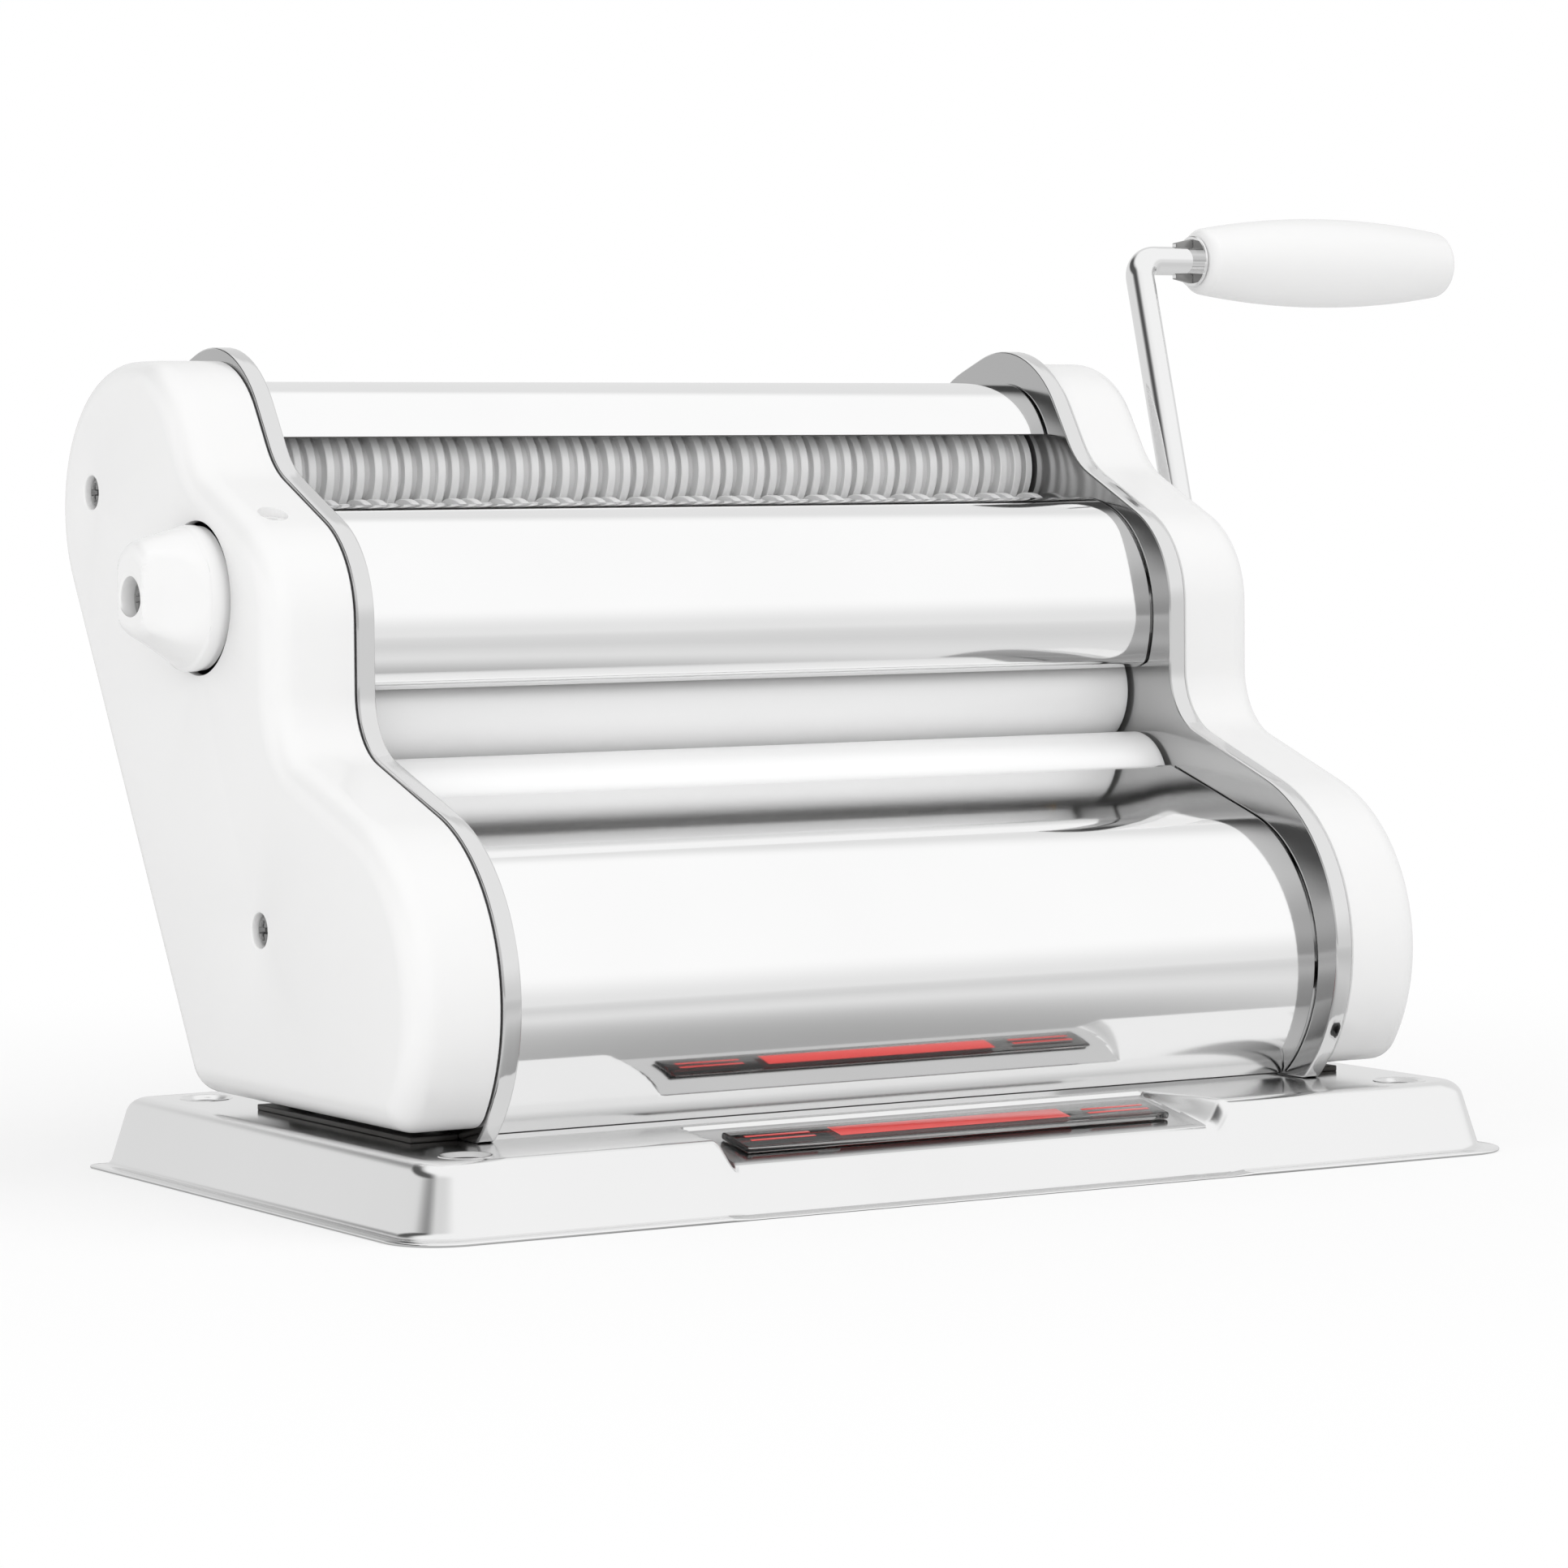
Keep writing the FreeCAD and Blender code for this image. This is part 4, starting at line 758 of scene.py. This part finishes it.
def bent_strip(node, material, trim, back=None, inside=(0, 0)):
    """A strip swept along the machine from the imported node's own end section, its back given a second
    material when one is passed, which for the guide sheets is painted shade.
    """
    low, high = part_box(node)
    section = parted(loops_at(node, low[0])[0])
    bm = bmesh.new()
    rows = bridge(bm, ringed(section, rounded_edges(low[0] + trim, high[0] - trim, SHEET_EDGE, 2)))
    for row in (rows[0], rows[-1]):
        capped(bm, row)
    strip = as_mesh(node + "_strip", bm, material, PLATE_CREASE)
    if back:
        hidden = Vector((0, *inside))
        second_finish(strip, back, lambda middle, normal: (
            abs(normal.x) < END_FACE and normal.dot(hidden - middle) > 0))
    show(node + "_strip", strip, "frame", SLOT_OF[node], node)


ALONG_SHEET = (0.05, 12.0, 12.0)
SHEET_STEEL = polished_steel("sheet_steel", 0.94, 0.05, (0.02, 1.0, 1.0))
# The hidden backs: dark steel as painted shade, so the cavities behind the sheets look dark.
BACK_SHADE_STEEL = plain_steel("sheet_back_steel", 0.2, 0.4, ALONG_SHEET)
BEHIND = {"lower_sheet": (-10 * MM, 60 * MM), "middle_sheet": (51 * MM, 151 * MM),
          "top_sheet": (91.5 * MM, 195 * MM)}
for node, inside in BEHIND.items():
    bent_strip(node, SHEET_STEEL, SHEET_TRIM, BACK_SHADE_STEEL, inside)


# Scrapers, combs and chutes: what keeps the dough from winding round the rollers at the back. The
# scrapers and chutes are plain sheared strip, and the combs are moulded in pale grey nylon.
CHUTE_STEEL = plain_steel("chute_steel", 0.62, 0.22, ALONG_SHEET)
for node in ("upper_scraper", "lower_scraper", "rear_lower_sheet", "rear_upper_sheet"):
    bent_strip(node, CHUTE_STEEL, 0.0)
finish = Finish("grey_nylon")
speck = finish.cloud(400.0, 3.0)
NYLON = finish.coat(base_color=finish.blend(speck, grey(0.56, 0.006), grey(0.62, 0.006)),
                    roughness=0.45 + speck * 0.1, normal=finish.bump(speck, 0.06, 0.0001))
for node in ("upper_comb", "lower_comb"):
    eased(node, 0.2 * MM, NYLON)


# Covers: two hollow white mouldings with a large round on their outer edge, screwed to bosses. The
# left one has a round opening for the gap knob, and the right one a hole for the crank's stub.
def white_plastic(name, level=0.82):
    finish = Finish(name)
    mottle = finish.cloud(7.0, 2.0)
    skin = finish.cloud(1100.0, 2.0)
    colour = finish.blend(mottle, grey(level - 0.008, 0.002), grey(level + 0.008, 0.001))
    return finish.coat(base_color=colour, roughness=0.2 + mottle * 0.06, specular_ior_level=0.5,
                       normal=finish.bump(skin, 0.015, 0.0001))


COVER_WALL, COVER_ROUND, MOUTH, SEAM = 2.5 * MM, 8 * MM, 0.35 * MM, 0.15 * MM
WELL_RADIUS, WELL_DEPTH, WELL_ROUND, BOSS_RADIUS = 4.7 * MM, 3.2 * MM, 0.9 * MM, 6.2 * MM
WELL_MOUTH = ((0, 1), (1 / 12, 0.6), (1 / 3, 0.25), (1, 0))
KNOB_HOLE, STUB_HOLE, OPENING_SIDES, COVER_STEPS = 21.2 * MM, 7.6 * MM, 96, 10
COVER_SCREWS = [(122.8 * MM, 189.9 * MM), (16.4 * MM, 72.0 * MM)]
EYELET, EYELET_TILT = (-150 * MM, 30.6 * MM, 182.65 * MM), math.radians(10)
EYELET_RADIUS, EYELET_HOLE, HOLE_DEPTH = 4.2 * MM, 1.5 * MM, 0.8 * MM
COVER_WHITE = white_plastic("cover_white")
KNOB = axis_of("regulator_turn")
STUB = axis_of("crank_turn")


def quarter(face, wall, round_radius, way):
    """(x, inset) of a rounded outer edge, from the side wall to the flat face."""
    return [(face - way * round_radius * (1 - sin), wall + round_radius * (1 - cos))
            for cos, sin in quarter_turns(COVER_STEPS)]


def cover_mesh(side, way):
    node = side + "_cover"
    low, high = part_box(node)
    mouth, face = (low[0], high[0]) if way > 0 else (high[0], low[0])
    rim = parted(loops_at(node, mouth)[0])
    mouth += way * SEAM
    inner_face = face - way * COVER_WALL
    bm = bmesh.new()
    inside = quarter(inner_face, COVER_WALL, COVER_ROUND - COVER_WALL, way)
    section = list(reversed(inside)) + [(mouth, COVER_WALL), (mouth, MOUTH), (mouth + way * MOUTH, 0)]
    skin = bridge(bm, ringed(rim, section + quarter(face, 0, COVER_ROUND, way)))
    mouths, inner_mouths = [], []
    for screw in COVER_SCREWS:
        steps = [(face - way * WELL_ROUND * down, WELL_RADIUS + WELL_ROUND * out) for down, out in WELL_MOUTH]
        well = lathe(bm, steps + [(face - way * WELL_DEPTH, WELL_RADIUS)], (0, *screw))
        bm.faces.new(well[-1])
        boss = lathe(bm, ((inner_face, BOSS_RADIUS), (mouth, BOSS_RADIUS)), (0, *screw))
        bm.faces.new(boss[-1])
        mouths.append(well[0])
        inner_mouths.append(boss[0])
    centre, radius = (STUB, STUB_HOLE) if way > 0 else (KNOB, KNOB_HOLE)
    hole = lathe(bm, ((face, radius + MOUTH), (face - way * MOUTH / 3, radius + MOUTH / 3),
                      (face - way * MOUTH, radius), (inner_face, radius)), centre, OPENING_SIDES)
    mouths.append(hole[0])
    inner_mouths.append(hole[-1])
    capped(bm, skin[-1], *mouths)
    capped(bm, skin[0], *inner_mouths)
    return as_mesh(node, bm, COVER_WHITE, CUT_CREASE)


left_cover = cover_mesh("left", -1)
bm = bmesh.new()
lathe(bm, [(-HOLE_DEPTH, 0), (-HOLE_DEPTH, EYELET_HOLE), (0, EYELET_HOLE), (0, EYELET_RADIUS),
           (COVER_ROUND, EYELET_RADIUS), (COVER_ROUND, 0)], (0, 0, 0), HOLE_SIDES, "Z")
eyelet_place = Matrix.Translation(EYELET) @ Matrix.Rotation(EYELET_TILT, 4, "X")
bmesh.ops.transform(bm, matrix=eyelet_place, verts=bm.verts)
left_cover = cut_by(left_cover, bm)
show("left_moulded_cover", left_cover, "frame", "white_plastic", "left_cover")
show("right_moulded_cover", cover_mesh("right", 1), "frame", "white_plastic", "right_cover")


# Cover and knob screws: plated cross-head screws at the bottom of their wells, one pattern set on
# every place where such a screw stands.
HEAD_RADIUS, HEAD_RISE, HEAD_WALL, HEAD_EDGE, SHANK = 4.2 * MM, 1.3 * MM, 0.9 * MM, 0.3 * MM, 2 * MM
HEAD_RINGS, HEAD_SIDES, HEAD_CURVE, HEAD_CREASE = 26, 72, 0.92, 50.0
CROSS_HALF, CROSS_REACH, CROSS_DEPTH = 0.55 * MM, 2.3 * MM, 1.5 * MM
CROSS_WALL, CROSS_END, CROSS_FALL = 0.35 * MM, 0.5 * MM, 1.6


def cross_head(y, z, dome):
    """Height of the head at a point: the dome, cut by a cross-shaped recess that narrows downwards."""
    reach, width = max(abs(y), abs(z)), min(abs(y), abs(z))
    outside = max((width - CROSS_HALF) / CROSS_WALL, (reach - CROSS_REACH) / CROSS_END)
    return dome - CROSS_DEPTH * smooth(1 - outside) * smooth(CROSS_FALL - reach / CROSS_REACH)


SCREW_STEEL = polished_steel("screw_plating", 0.28, 0.12)


def cross_screws(name, places, shank, radius):
    """Screws with a domed head and a shank, one pattern facing +Z set on every place."""
    rows = []
    for i in range(HEAD_RINGS + 1):
        share = i / HEAD_RINGS
        dome = HEAD_WALL + HEAD_RISE * math.sqrt(max(0.0, 1 - share ** 2 * HEAD_CURVE))
        ring = round_points(radius * i / HEAD_RINGS, HEAD_SIDES)
        rows.append([Vector((y, z, cross_head(y, z, dome))) for y, z in ring])
    for height, r in ((HEAD_EDGE, radius), (0, radius - HEAD_EDGE), (0, SHANK), (-shank, SHANK), (-shank, 0)):
        rows.append([Vector((y, z, height)) for y, z in round_points(r, HEAD_SIDES)])
    bm = bmesh.new()
    bridge(bm, rows)
    return spread(name, as_mesh("screw", bm, SCREW_STEEL, HEAD_CREASE), places, SCREW_STEEL)


face_left, face_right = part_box("left_cover")[0][0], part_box("right_cover")[1][0]
places = [((face_left + WELL_DEPTH, y, z), (-1, 0, 0)) for y, z in COVER_SCREWS]
places += [((face_right - WELL_DEPTH, y, z), (1, 0, 0)) for y, z in COVER_SCREWS]
shank = face_right - WELL_DEPTH - BARREL_END - SIDE_GAP
cover_screws = cross_screws("cover_cross_screws", places, shank, HEAD_RADIUS)
show("cover_cross_screws", cover_screws, "frame", "polished_steel", "cover_screws")


# Gap knob: a white moulded knob with a round skirt and two scooped sides that leave a grip for
# finger and thumb. A screw in its nose holds it on the spindle.
KNOB_WHITE = white_plastic("knob_white", 0.83)
knob_low, knob_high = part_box("regulator_knob")
KNOB_RADIUS, KNOB_NOSE, KNOB_SKIRT = 20.1 * MM, 15 * MM, 4 * MM
KNOB_TALL = knob_high[0] - knob_low[0]
SCOOP_RADIUS, SCOOP_HALF, KNOB_WELL, KNOB_WELL_DEPTH = 22 * MM, 8 * MM, 6.2 * MM, 5.0 * MM
KNOB_BLEND, NOSE_ROUND, KNOB_SINK = 3.2 * MM, 4.6 * MM, 1.2 * MM
CHIN, BROW = 0.3, 0.13
KNOB_HEAD, KNOB_SIDES, KNOB_CREASE = 5.3 * MM, 120, 40.0
WELL_LIP, WELL_FOOT, LIP_RISE = 0.7 * MM, 0.4 * MM, 0.2 * MM
SKIRT_IN, SKIRT_UP = 0.6 * MM, 0.5 * MM
SKIRT_EDGE = ((0.25, 0.2), (0, -0.3), (0, -3.2), (0.3, -4.0))
NOSE_ROWS, NOSE_STEPS, FLANK_ROWS = 12, 6, 24


def soft_least(first, second, blend):
    share = min(1.0, max(0.0, 0.5 + 0.5 * (second - first) / blend))
    return second + (first - second) * share - blend * share * (1 - share)


def scooped(y, height):
    reach = SCOOP_HALF + SCOOP_RADIUS - abs(y)
    floor = KNOB_TALL + KNOB_SKIRT - math.sqrt(max(0.0, SCOOP_RADIUS ** 2 - reach ** 2))
    return soft_least(height, max(floor, KNOB_SKIRT), KNOB_BLEND)


def knob_rings():
    """(radius, height, scooped or not) from the middle of the nose out and down to the skirt."""
    floor, lip = KNOB_TALL - KNOB_WELL_DEPTH, KNOB_WELL + WELL_LIP
    for radius, height in ((0, floor), (KNOB_WELL - WELL_FOOT, floor), (KNOB_WELL, floor + WELL_FOOT),
                           (KNOB_WELL, KNOB_TALL - WELL_LIP), (KNOB_WELL + LIP_RISE, KNOB_TALL - LIP_RISE)):
        yield radius, height, False
    nose_flat = KNOB_NOSE - NOSE_ROUND
    for i in range(NOSE_ROWS + 1):
        yield lip + (nose_flat - lip) * i / NOSE_ROWS, KNOB_TALL, True
    lean = math.degrees(math.atan2(KNOB_RADIUS - KNOB_NOSE, KNOB_TALL - KNOB_SKIRT))
    shoulder = arc((nose_flat, KNOB_TALL - NOSE_ROUND), NOSE_ROUND, 90, lean, NOSE_STEPS)[1:]
    for radius, height in shoulder:
        yield radius, height, True
    out, down = KNOB_RADIUS - SKIRT_IN - radius, KNOB_SKIRT + SKIRT_UP - height
    for i in range(1, FLANK_ROWS + 1):
        yield radius + out * i / FLANK_ROWS, height + down * i / FLANK_ROWS, True
    for inward, rise in SKIRT_EDGE:
        yield KNOB_RADIUS - inward * MM, KNOB_SKIRT + rise * MM, False
    yield KNOB_RADIUS - SKIRT_EDGE[-1][0] * MM, -KNOB_SINK, False
    yield 0, -KNOB_SINK, False


bm = bmesh.new()
rows = []
for radius, height, cut in knob_rings():
    row = []
    for y, z in round_points(radius, KNOB_SIDES):
        if cut:
            z *= 1 + (BROW if z > 0 else -CHIN) * (height - KNOB_SKIRT) / (KNOB_TALL - KNOB_SKIRT)
        top = scooped(y, height) if cut else height
        row.append(Vector((knob_high[0] - top, KNOB[1] + y, KNOB[2] + z)))
    rows.append(row)
bridge(bm, rows)
knob = as_mesh("gap_knob", bm, KNOB_WHITE, KNOB_CREASE)
show("gap_knob", knob, "regulator", "white_plastic", "regulator_knob")
knob_seat = (knob_low[0] + KNOB_WELL_DEPTH, KNOB[1], KNOB[2])
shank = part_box("knob_screw")[1][0] - knob_seat[0]
knob_screw = cross_screws("knob_cross_screw", [(knob_seat, (-1, 0, 0))], shank, KNOB_HEAD)
show("knob_cross_screw", knob_screw, "regulator", "polished_steel", "knob_screw")


# Crank: one bent steel rod, plated and polished, that plugs into the upper roller. Small wings swaged
# out of it hold a washer, and the grip turns on the rod beyond that washer.
BEND_STEPS, ROD_SIDES = 20, 48


def rod_tree(name):
    """Geometry Nodes: a round rod along the input's edges, with its corners bent to a radius."""
    flow, path, bend, radius, material = new_tree(name, Path="Geometry", Bend="Float", Radius="Float",
                                                  Material="Material")
    line = flow.node("GeometryNodeMeshToCurve", {}, {"Mesh": path})
    bent = flow.node("GeometryNodeFilletCurve", {"mode": "POLY"},
                     {"Curve": line, "Count": BEND_STEPS, "Radius": bend})
    ring = flow.node("GeometryNodeCurvePrimitiveCircle", {}, {"Resolution": ROD_SIDES, "Radius": radius})
    tube = flow.node("GeometryNodeCurveToMesh", {}, {"Curve": bent, "Profile Curve": ring, "Fill Caps": True})
    return tree_end(flow, tube, material)


CHROME = polished_steel("crank_chrome", 0.86, 0.03, (1.0, 1.0, 0.05))
PIN = axis_of("grip_spin")
ROD, ROD_BEND, ROD_END = 4.5 * MM, 7 * MM, 298.4 * MM
ARM_LOW, ARM_HIGH = 170.5 * MM, 184 * MM
path = bpy.data.meshes.new("crank_path")
path.from_pydata([(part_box("crank_rod")[0][0], *STUB[1:]), (ARM_LOW, *STUB[1:]), (ARM_HIGH, *PIN[1:]),
                  (ROD_END, *PIN[1:])], [(0, 1), (1, 2), (2, 3)], [])
bm = bmesh.new()
bm.from_mesh(nodes_result(path, rod_tree("bent_rod"), Bend=ROD_BEND, Radius=ROD, Material=CHROME))
WING_TALL, WING_LONG, WING_HALF, WING_EDGE = 2.5 * MM, 6.5 * MM, 1.2 * MM, 0.1 * MM
WING_SOFT, WING_TAPER, CRANK_CREASE = 0.5 * MM, 0.55, 45.0
washer_low, washer_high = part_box("crank_washer")
for way in (-1, 1):
    root = PIN[2] + way * ROD
    wing = rounded_bar((washer_low[0] - WING_LONG, PIN[1] - WING_HALF, root - WING_TALL),
                       (washer_low[0], PIN[1] + WING_HALF, root + WING_TALL), WING_SOFT)
    for vert in wing.verts:
        slope = (washer_low[0] - vert.co.x) / WING_LONG
        vert.co.z = root + (vert.co.z - root) * (1 - WING_TAPER * slope)
    copy = bpy.data.meshes.new("wing")
    wing.to_mesh(copy)
    wing.free()
    bm.from_mesh(copy)
WING_STEEL = plain_steel("wing_steel", 0.3, 0.25)
crank = second_finish(as_mesh("bent_crank", bm, CHROME, CRANK_CREASE), WING_STEEL, lambda middle, normal: (
    -WING_LONG < middle.x - washer_low[0] < 0 and math.dist(middle[1:], PIN[1:]) > ROD + WING_EDGE))
show("bent_crank", crank, "drive_roller", "polished_steel", "crank_rod")
WASHER, WASHER_EDGE, WASHER_SIDES = 8 * MM, 0.3 * MM, 72
bm = bmesh.new()
lathe(bm, [(washer_low[0], ROD), (washer_low[0], WASHER - WASHER_EDGE), (washer_low[0] + WASHER_EDGE, WASHER),
           (washer_high[0] - WASHER_EDGE, WASHER), (washer_high[0], WASHER - WASHER_EDGE),
           (washer_high[0], ROD), (washer_low[0], ROD)], PIN, WASHER_SIDES)
show("crank_collar", as_mesh("crank_collar", bm, CHROME), "drive_roller", "polished_steel", "crank_washer")


# Grip: a white moulded handle, swelled at its middle and rounded at its ends. It turns on the rod
# between the washer and a small clip inside its far end.
GRIP_WHITE = white_plastic("grip_white", 0.82)
grip_low, grip_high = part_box("crank_grip")
GRIP_MID, GRIP_TIP, GRIP_BORE = 14.1 * MM, 10 * MM, 4.8 * MM
GRIP_ROUND, GRIP_DISH, DISH_WALL, DISH_RIM = 3.0 * MM, 0.7 * MM, 1.4 * MM, 0.6 * MM
BORE_PAST, END_STEPS, BODY_STEPS, GRIP_SIDES, GRIP_CREASE = 0.4 * MM, 10, 40, 96, 40.0
GRIP_LONG = grip_high[0] - grip_low[0]


def grip_radius(along):
    """Swell of the grip at a distance from its left end, with both ends rounded off."""
    rise, half_long = GRIP_MID - GRIP_TIP, GRIP_LONG / 2
    bow = (half_long ** 2 + rise ** 2) / (2 * rise)
    body = GRIP_MID - bow + math.sqrt(bow ** 2 - (along - half_long) ** 2)
    short = max(0.0, GRIP_ROUND - min(along, GRIP_LONG - along))
    return body - GRIP_ROUND + math.sqrt(GRIP_ROUND ** 2 - short ** 2)


near_end = [GRIP_ROUND * (1 - cos) for cos, _ in quarter_turns(END_STEPS)]
body = [GRIP_ROUND + (GRIP_LONG - 2 * GRIP_ROUND) * i / BODY_STEPS for i in range(1, BODY_STEPS)]
stations = near_end + body + [GRIP_LONG - along for along in reversed(near_end)]
outside = [(grip_low[0] + along, grip_radius(along)) for along in stations]
face_radius, bore_end, dish = outside[0][1], ROD_END + BORE_PAST, grip_low[0] + GRIP_DISH
shell = [(bore_end, 0), (bore_end, GRIP_BORE), (dish, GRIP_BORE), (dish, face_radius - DISH_WALL),
         (grip_low[0], face_radius - DISH_RIM)]
bm = bmesh.new()
lathe(bm, shell + outside + [(grip_high[0], 0)], PIN, GRIP_SIDES)
grip = as_mesh("turning_grip", bm, GRIP_WHITE, GRIP_CREASE)
show("turning_grip", grip, "grip", "white_plastic", "crank_grip")


# Stage: a white sweep that keeps the machine's soft shadow, three broad soft lights over the right, the
# front and the left, and a white world that is a little uneven in mirrors. The camera stands where the
# photograph was taken from.
def rays(flow):
    """Two switches: 1 for a ray from the camera, and 1 for a ray from a mirror or through glass."""
    camera, mirror, glass = [flow.node("ShaderNodeLightPath", {}, {}, out=name)
                             for name in ("Is Camera Ray", "Is Glossy Ray", "Is Transmission Ray")]
    return camera, flow.maths("MAXIMUM", mirror, glass)


def ramp(flow, value, low, high):
    """0 below low, 1 above high, and a smooth rise between them."""
    return flow.node("ShaderNodeMapRange", {"interpolation_type": "SMOOTHSTEP"},
                     {"Value": value, "From Min": low, "From Max": high})


SHADOW_FADE, MIRROR_NEAR, MIRROR_FAR = (0.22, 0.6), (0.1, 0.32), (0.3, 2.5)
MIRROR_SHADOW_LEVEL, AROUND_LEVEL, BEYOND_LEVEL = 0.06, 0.68, 0.82


def stage_white(share, level):
    """The floor: mostly plain white to the camera, with the shadow kept near the machine; mirrors see it
    grey, and near black close round the machine as a painted shadow.
    """
    finish = Finish("white_sweep")
    camera, mirror = rays(finish)
    away = finish.node("ShaderNodeVectorMath", {"operation": "LENGTH"}, {0: finish.place}, out="Value")
    far = ramp(finish, away, *SHADOW_FADE)
    lit = finish.node("ShaderNodeBsdfDiffuse", {}, {"Color": grey(level)})
    # Mirrors see the floor near black close round the machine: a painted shadow.
    painted_shadow_near = finish.blend(ramp(finish, away, *MIRROR_NEAR), grey(MIRROR_SHADOW_LEVEL), grey(AROUND_LEVEL))
    mirrored = finish.blend(ramp(finish, away, *MIRROR_FAR), painted_shadow_near, grey(BEYOND_LEVEL))
    seen = finish.blend(mirror, grey(1.0), mirrored)
    white = finish.node("ShaderNodeEmission", {}, {"Color": seen, "Strength": 1.0})
    cover = (camera + mirror) * (share + far * (1.0 - share))
    both = finish.node("ShaderNodeMixShader", {}, {0: cover, 1: lit, 2: white})
    finish.node("ShaderNodeOutputMaterial", {}, {"Surface": both})
    return finish.material


FLOOR_HALF, FLOOR_SHARE, FLOOR_LEVEL = 6.0, 0.6, 0.92
floor_mesh = bpy.data.meshes.new("sweep")
corners = [(sx * FLOOR_HALF, sy * FLOOR_HALF, 0) for sx, sy in ((-1, -1), (1, -1), (1, 1), (-1, 1))]
floor_mesh.from_pydata(corners, [], [(0, 1, 2, 3)])
floor_mesh.materials.append(stage_white(FLOOR_SHARE, FLOOR_LEVEL))
sweep = linked("sweep", floor_mesh)

world = bpy.data.worlds.new("white_studio")
world.use_nodes = True
world.node_tree.nodes.clear()
sky = Flow(world.node_tree)
way = sky.node("ShaderNodeTexCoord", out="Generated")


def toward(*direction):
    """How far the way looked at leans towards a direction."""
    return sky.node("ShaderNodeVectorMath", {"operation": "DOT_PRODUCT"}, {0: way, 1: direction}, out="Value")


FRONT_LEVEL, FRONT_RISE, LEFT_FALL = 0.82, 0.2, 0.3
BEHIND_LEVEL, BEHIND_RISE, SHADE_DEEP = 0.8, 0.22, 0.88
height, leftward = toward(0.0, 0.0, 1.0), toward(-0.91, -0.41, 0.0)
rearward, depth = toward(-0.85, 0.53, 0.0), toward(0.0, 1.0, 0.0)
low_left = ramp(sky, leftward, 0.3, 0.75) * (1.0 - ramp(sky, height, 0.4, 0.9))
front = FRONT_LEVEL + FRONT_RISE * ramp(sky, height, 0.0, 0.3) - LEFT_FALL * low_left
behind = BEHIND_LEVEL + BEHIND_RISE * ramp(sky, height, 0.7, 0.8)
shade = ramp(sky, rearward, 0.2, 0.6) * ramp(sky, height, 0.38, 0.55) * (1.0 - ramp(sky, height, 0.72, 0.9))
room = (front + (behind - front) * ramp(sky, depth, -0.15, 0.25)) * (1.0 - SHADE_DEEP * shade)
camera_ray, mirror_ray = rays(sky)
SOFT_LEVEL, WHITE_LEVEL = 0.74, 1.0
soft, studio, white = [sky.node("ShaderNodeBackground", {}, {"Color": grey(1.0), "Strength": strength})
                       for strength in (SOFT_LEVEL, room, WHITE_LEVEL)]
lighting = sky.node("ShaderNodeMixShader", {}, {0: mirror_ray, 1: soft, 2: studio})
mixed = sky.node("ShaderNodeMixShader", {}, {0: camera_ray, 1: lighting, 2: white})
sky.node("ShaderNodeOutputWorld", {}, {"Surface": mixed})
bpy.context.scene.world = world

MIDDLE = Vector((0.02, 0.03, 0.11))
LIGHTS = (("key_light", (1.0, -0.5, 2.0), 1.8, 12.3), ("front_light", (-0.9, -2.0, 0.6), 2.0, 15.5),
          ("side_light", (-2.1, -0.2, 0.8), 1.8, 9.0))
for name, place, size, power in LIGHTS:
    lamp = bpy.data.lights.new(name, "AREA")
    lamp.size, lamp.energy = size, power
    holder = linked(name, lamp)
    holder.location = place
    holder.rotation_euler = (MIDDLE - Vector(place)).to_track_quat("-Z", "Y").to_euler()
    holder.visible_glossy = False

AZIMUTH, PITCH, ROLL = math.radians(-31.148), math.radians(3.3025), math.radians(-0.433)
back = Vector((math.sin(AZIMUTH) * math.cos(PITCH), -math.cos(AZIMUTH) * math.cos(PITCH), math.sin(PITCH)))
level = (-back).cross(Vector((0, 0, 1))).normalized()
upward = level.cross(-back)
across = level * math.cos(ROLL) + upward * math.sin(ROLL)
upward = upward * math.cos(ROLL) - level * math.sin(ROLL)
SENSOR, FOCAL, STAND = 36.0, 125.39, (-0.80003, -1.31252, 0.19520)
lens = bpy.data.cameras.new("photo_camera")
lens.sensor_width, lens.lens = SENSOR, FOCAL
camera = linked("photo_camera", lens)
camera.matrix_world = Matrix.Translation(STAND) @ Matrix((across, upward, back)).transposed().to_4x4()
bpy.context.scene.camera = camera
bpy.context.scene.view_settings.view_transform = "Standard"
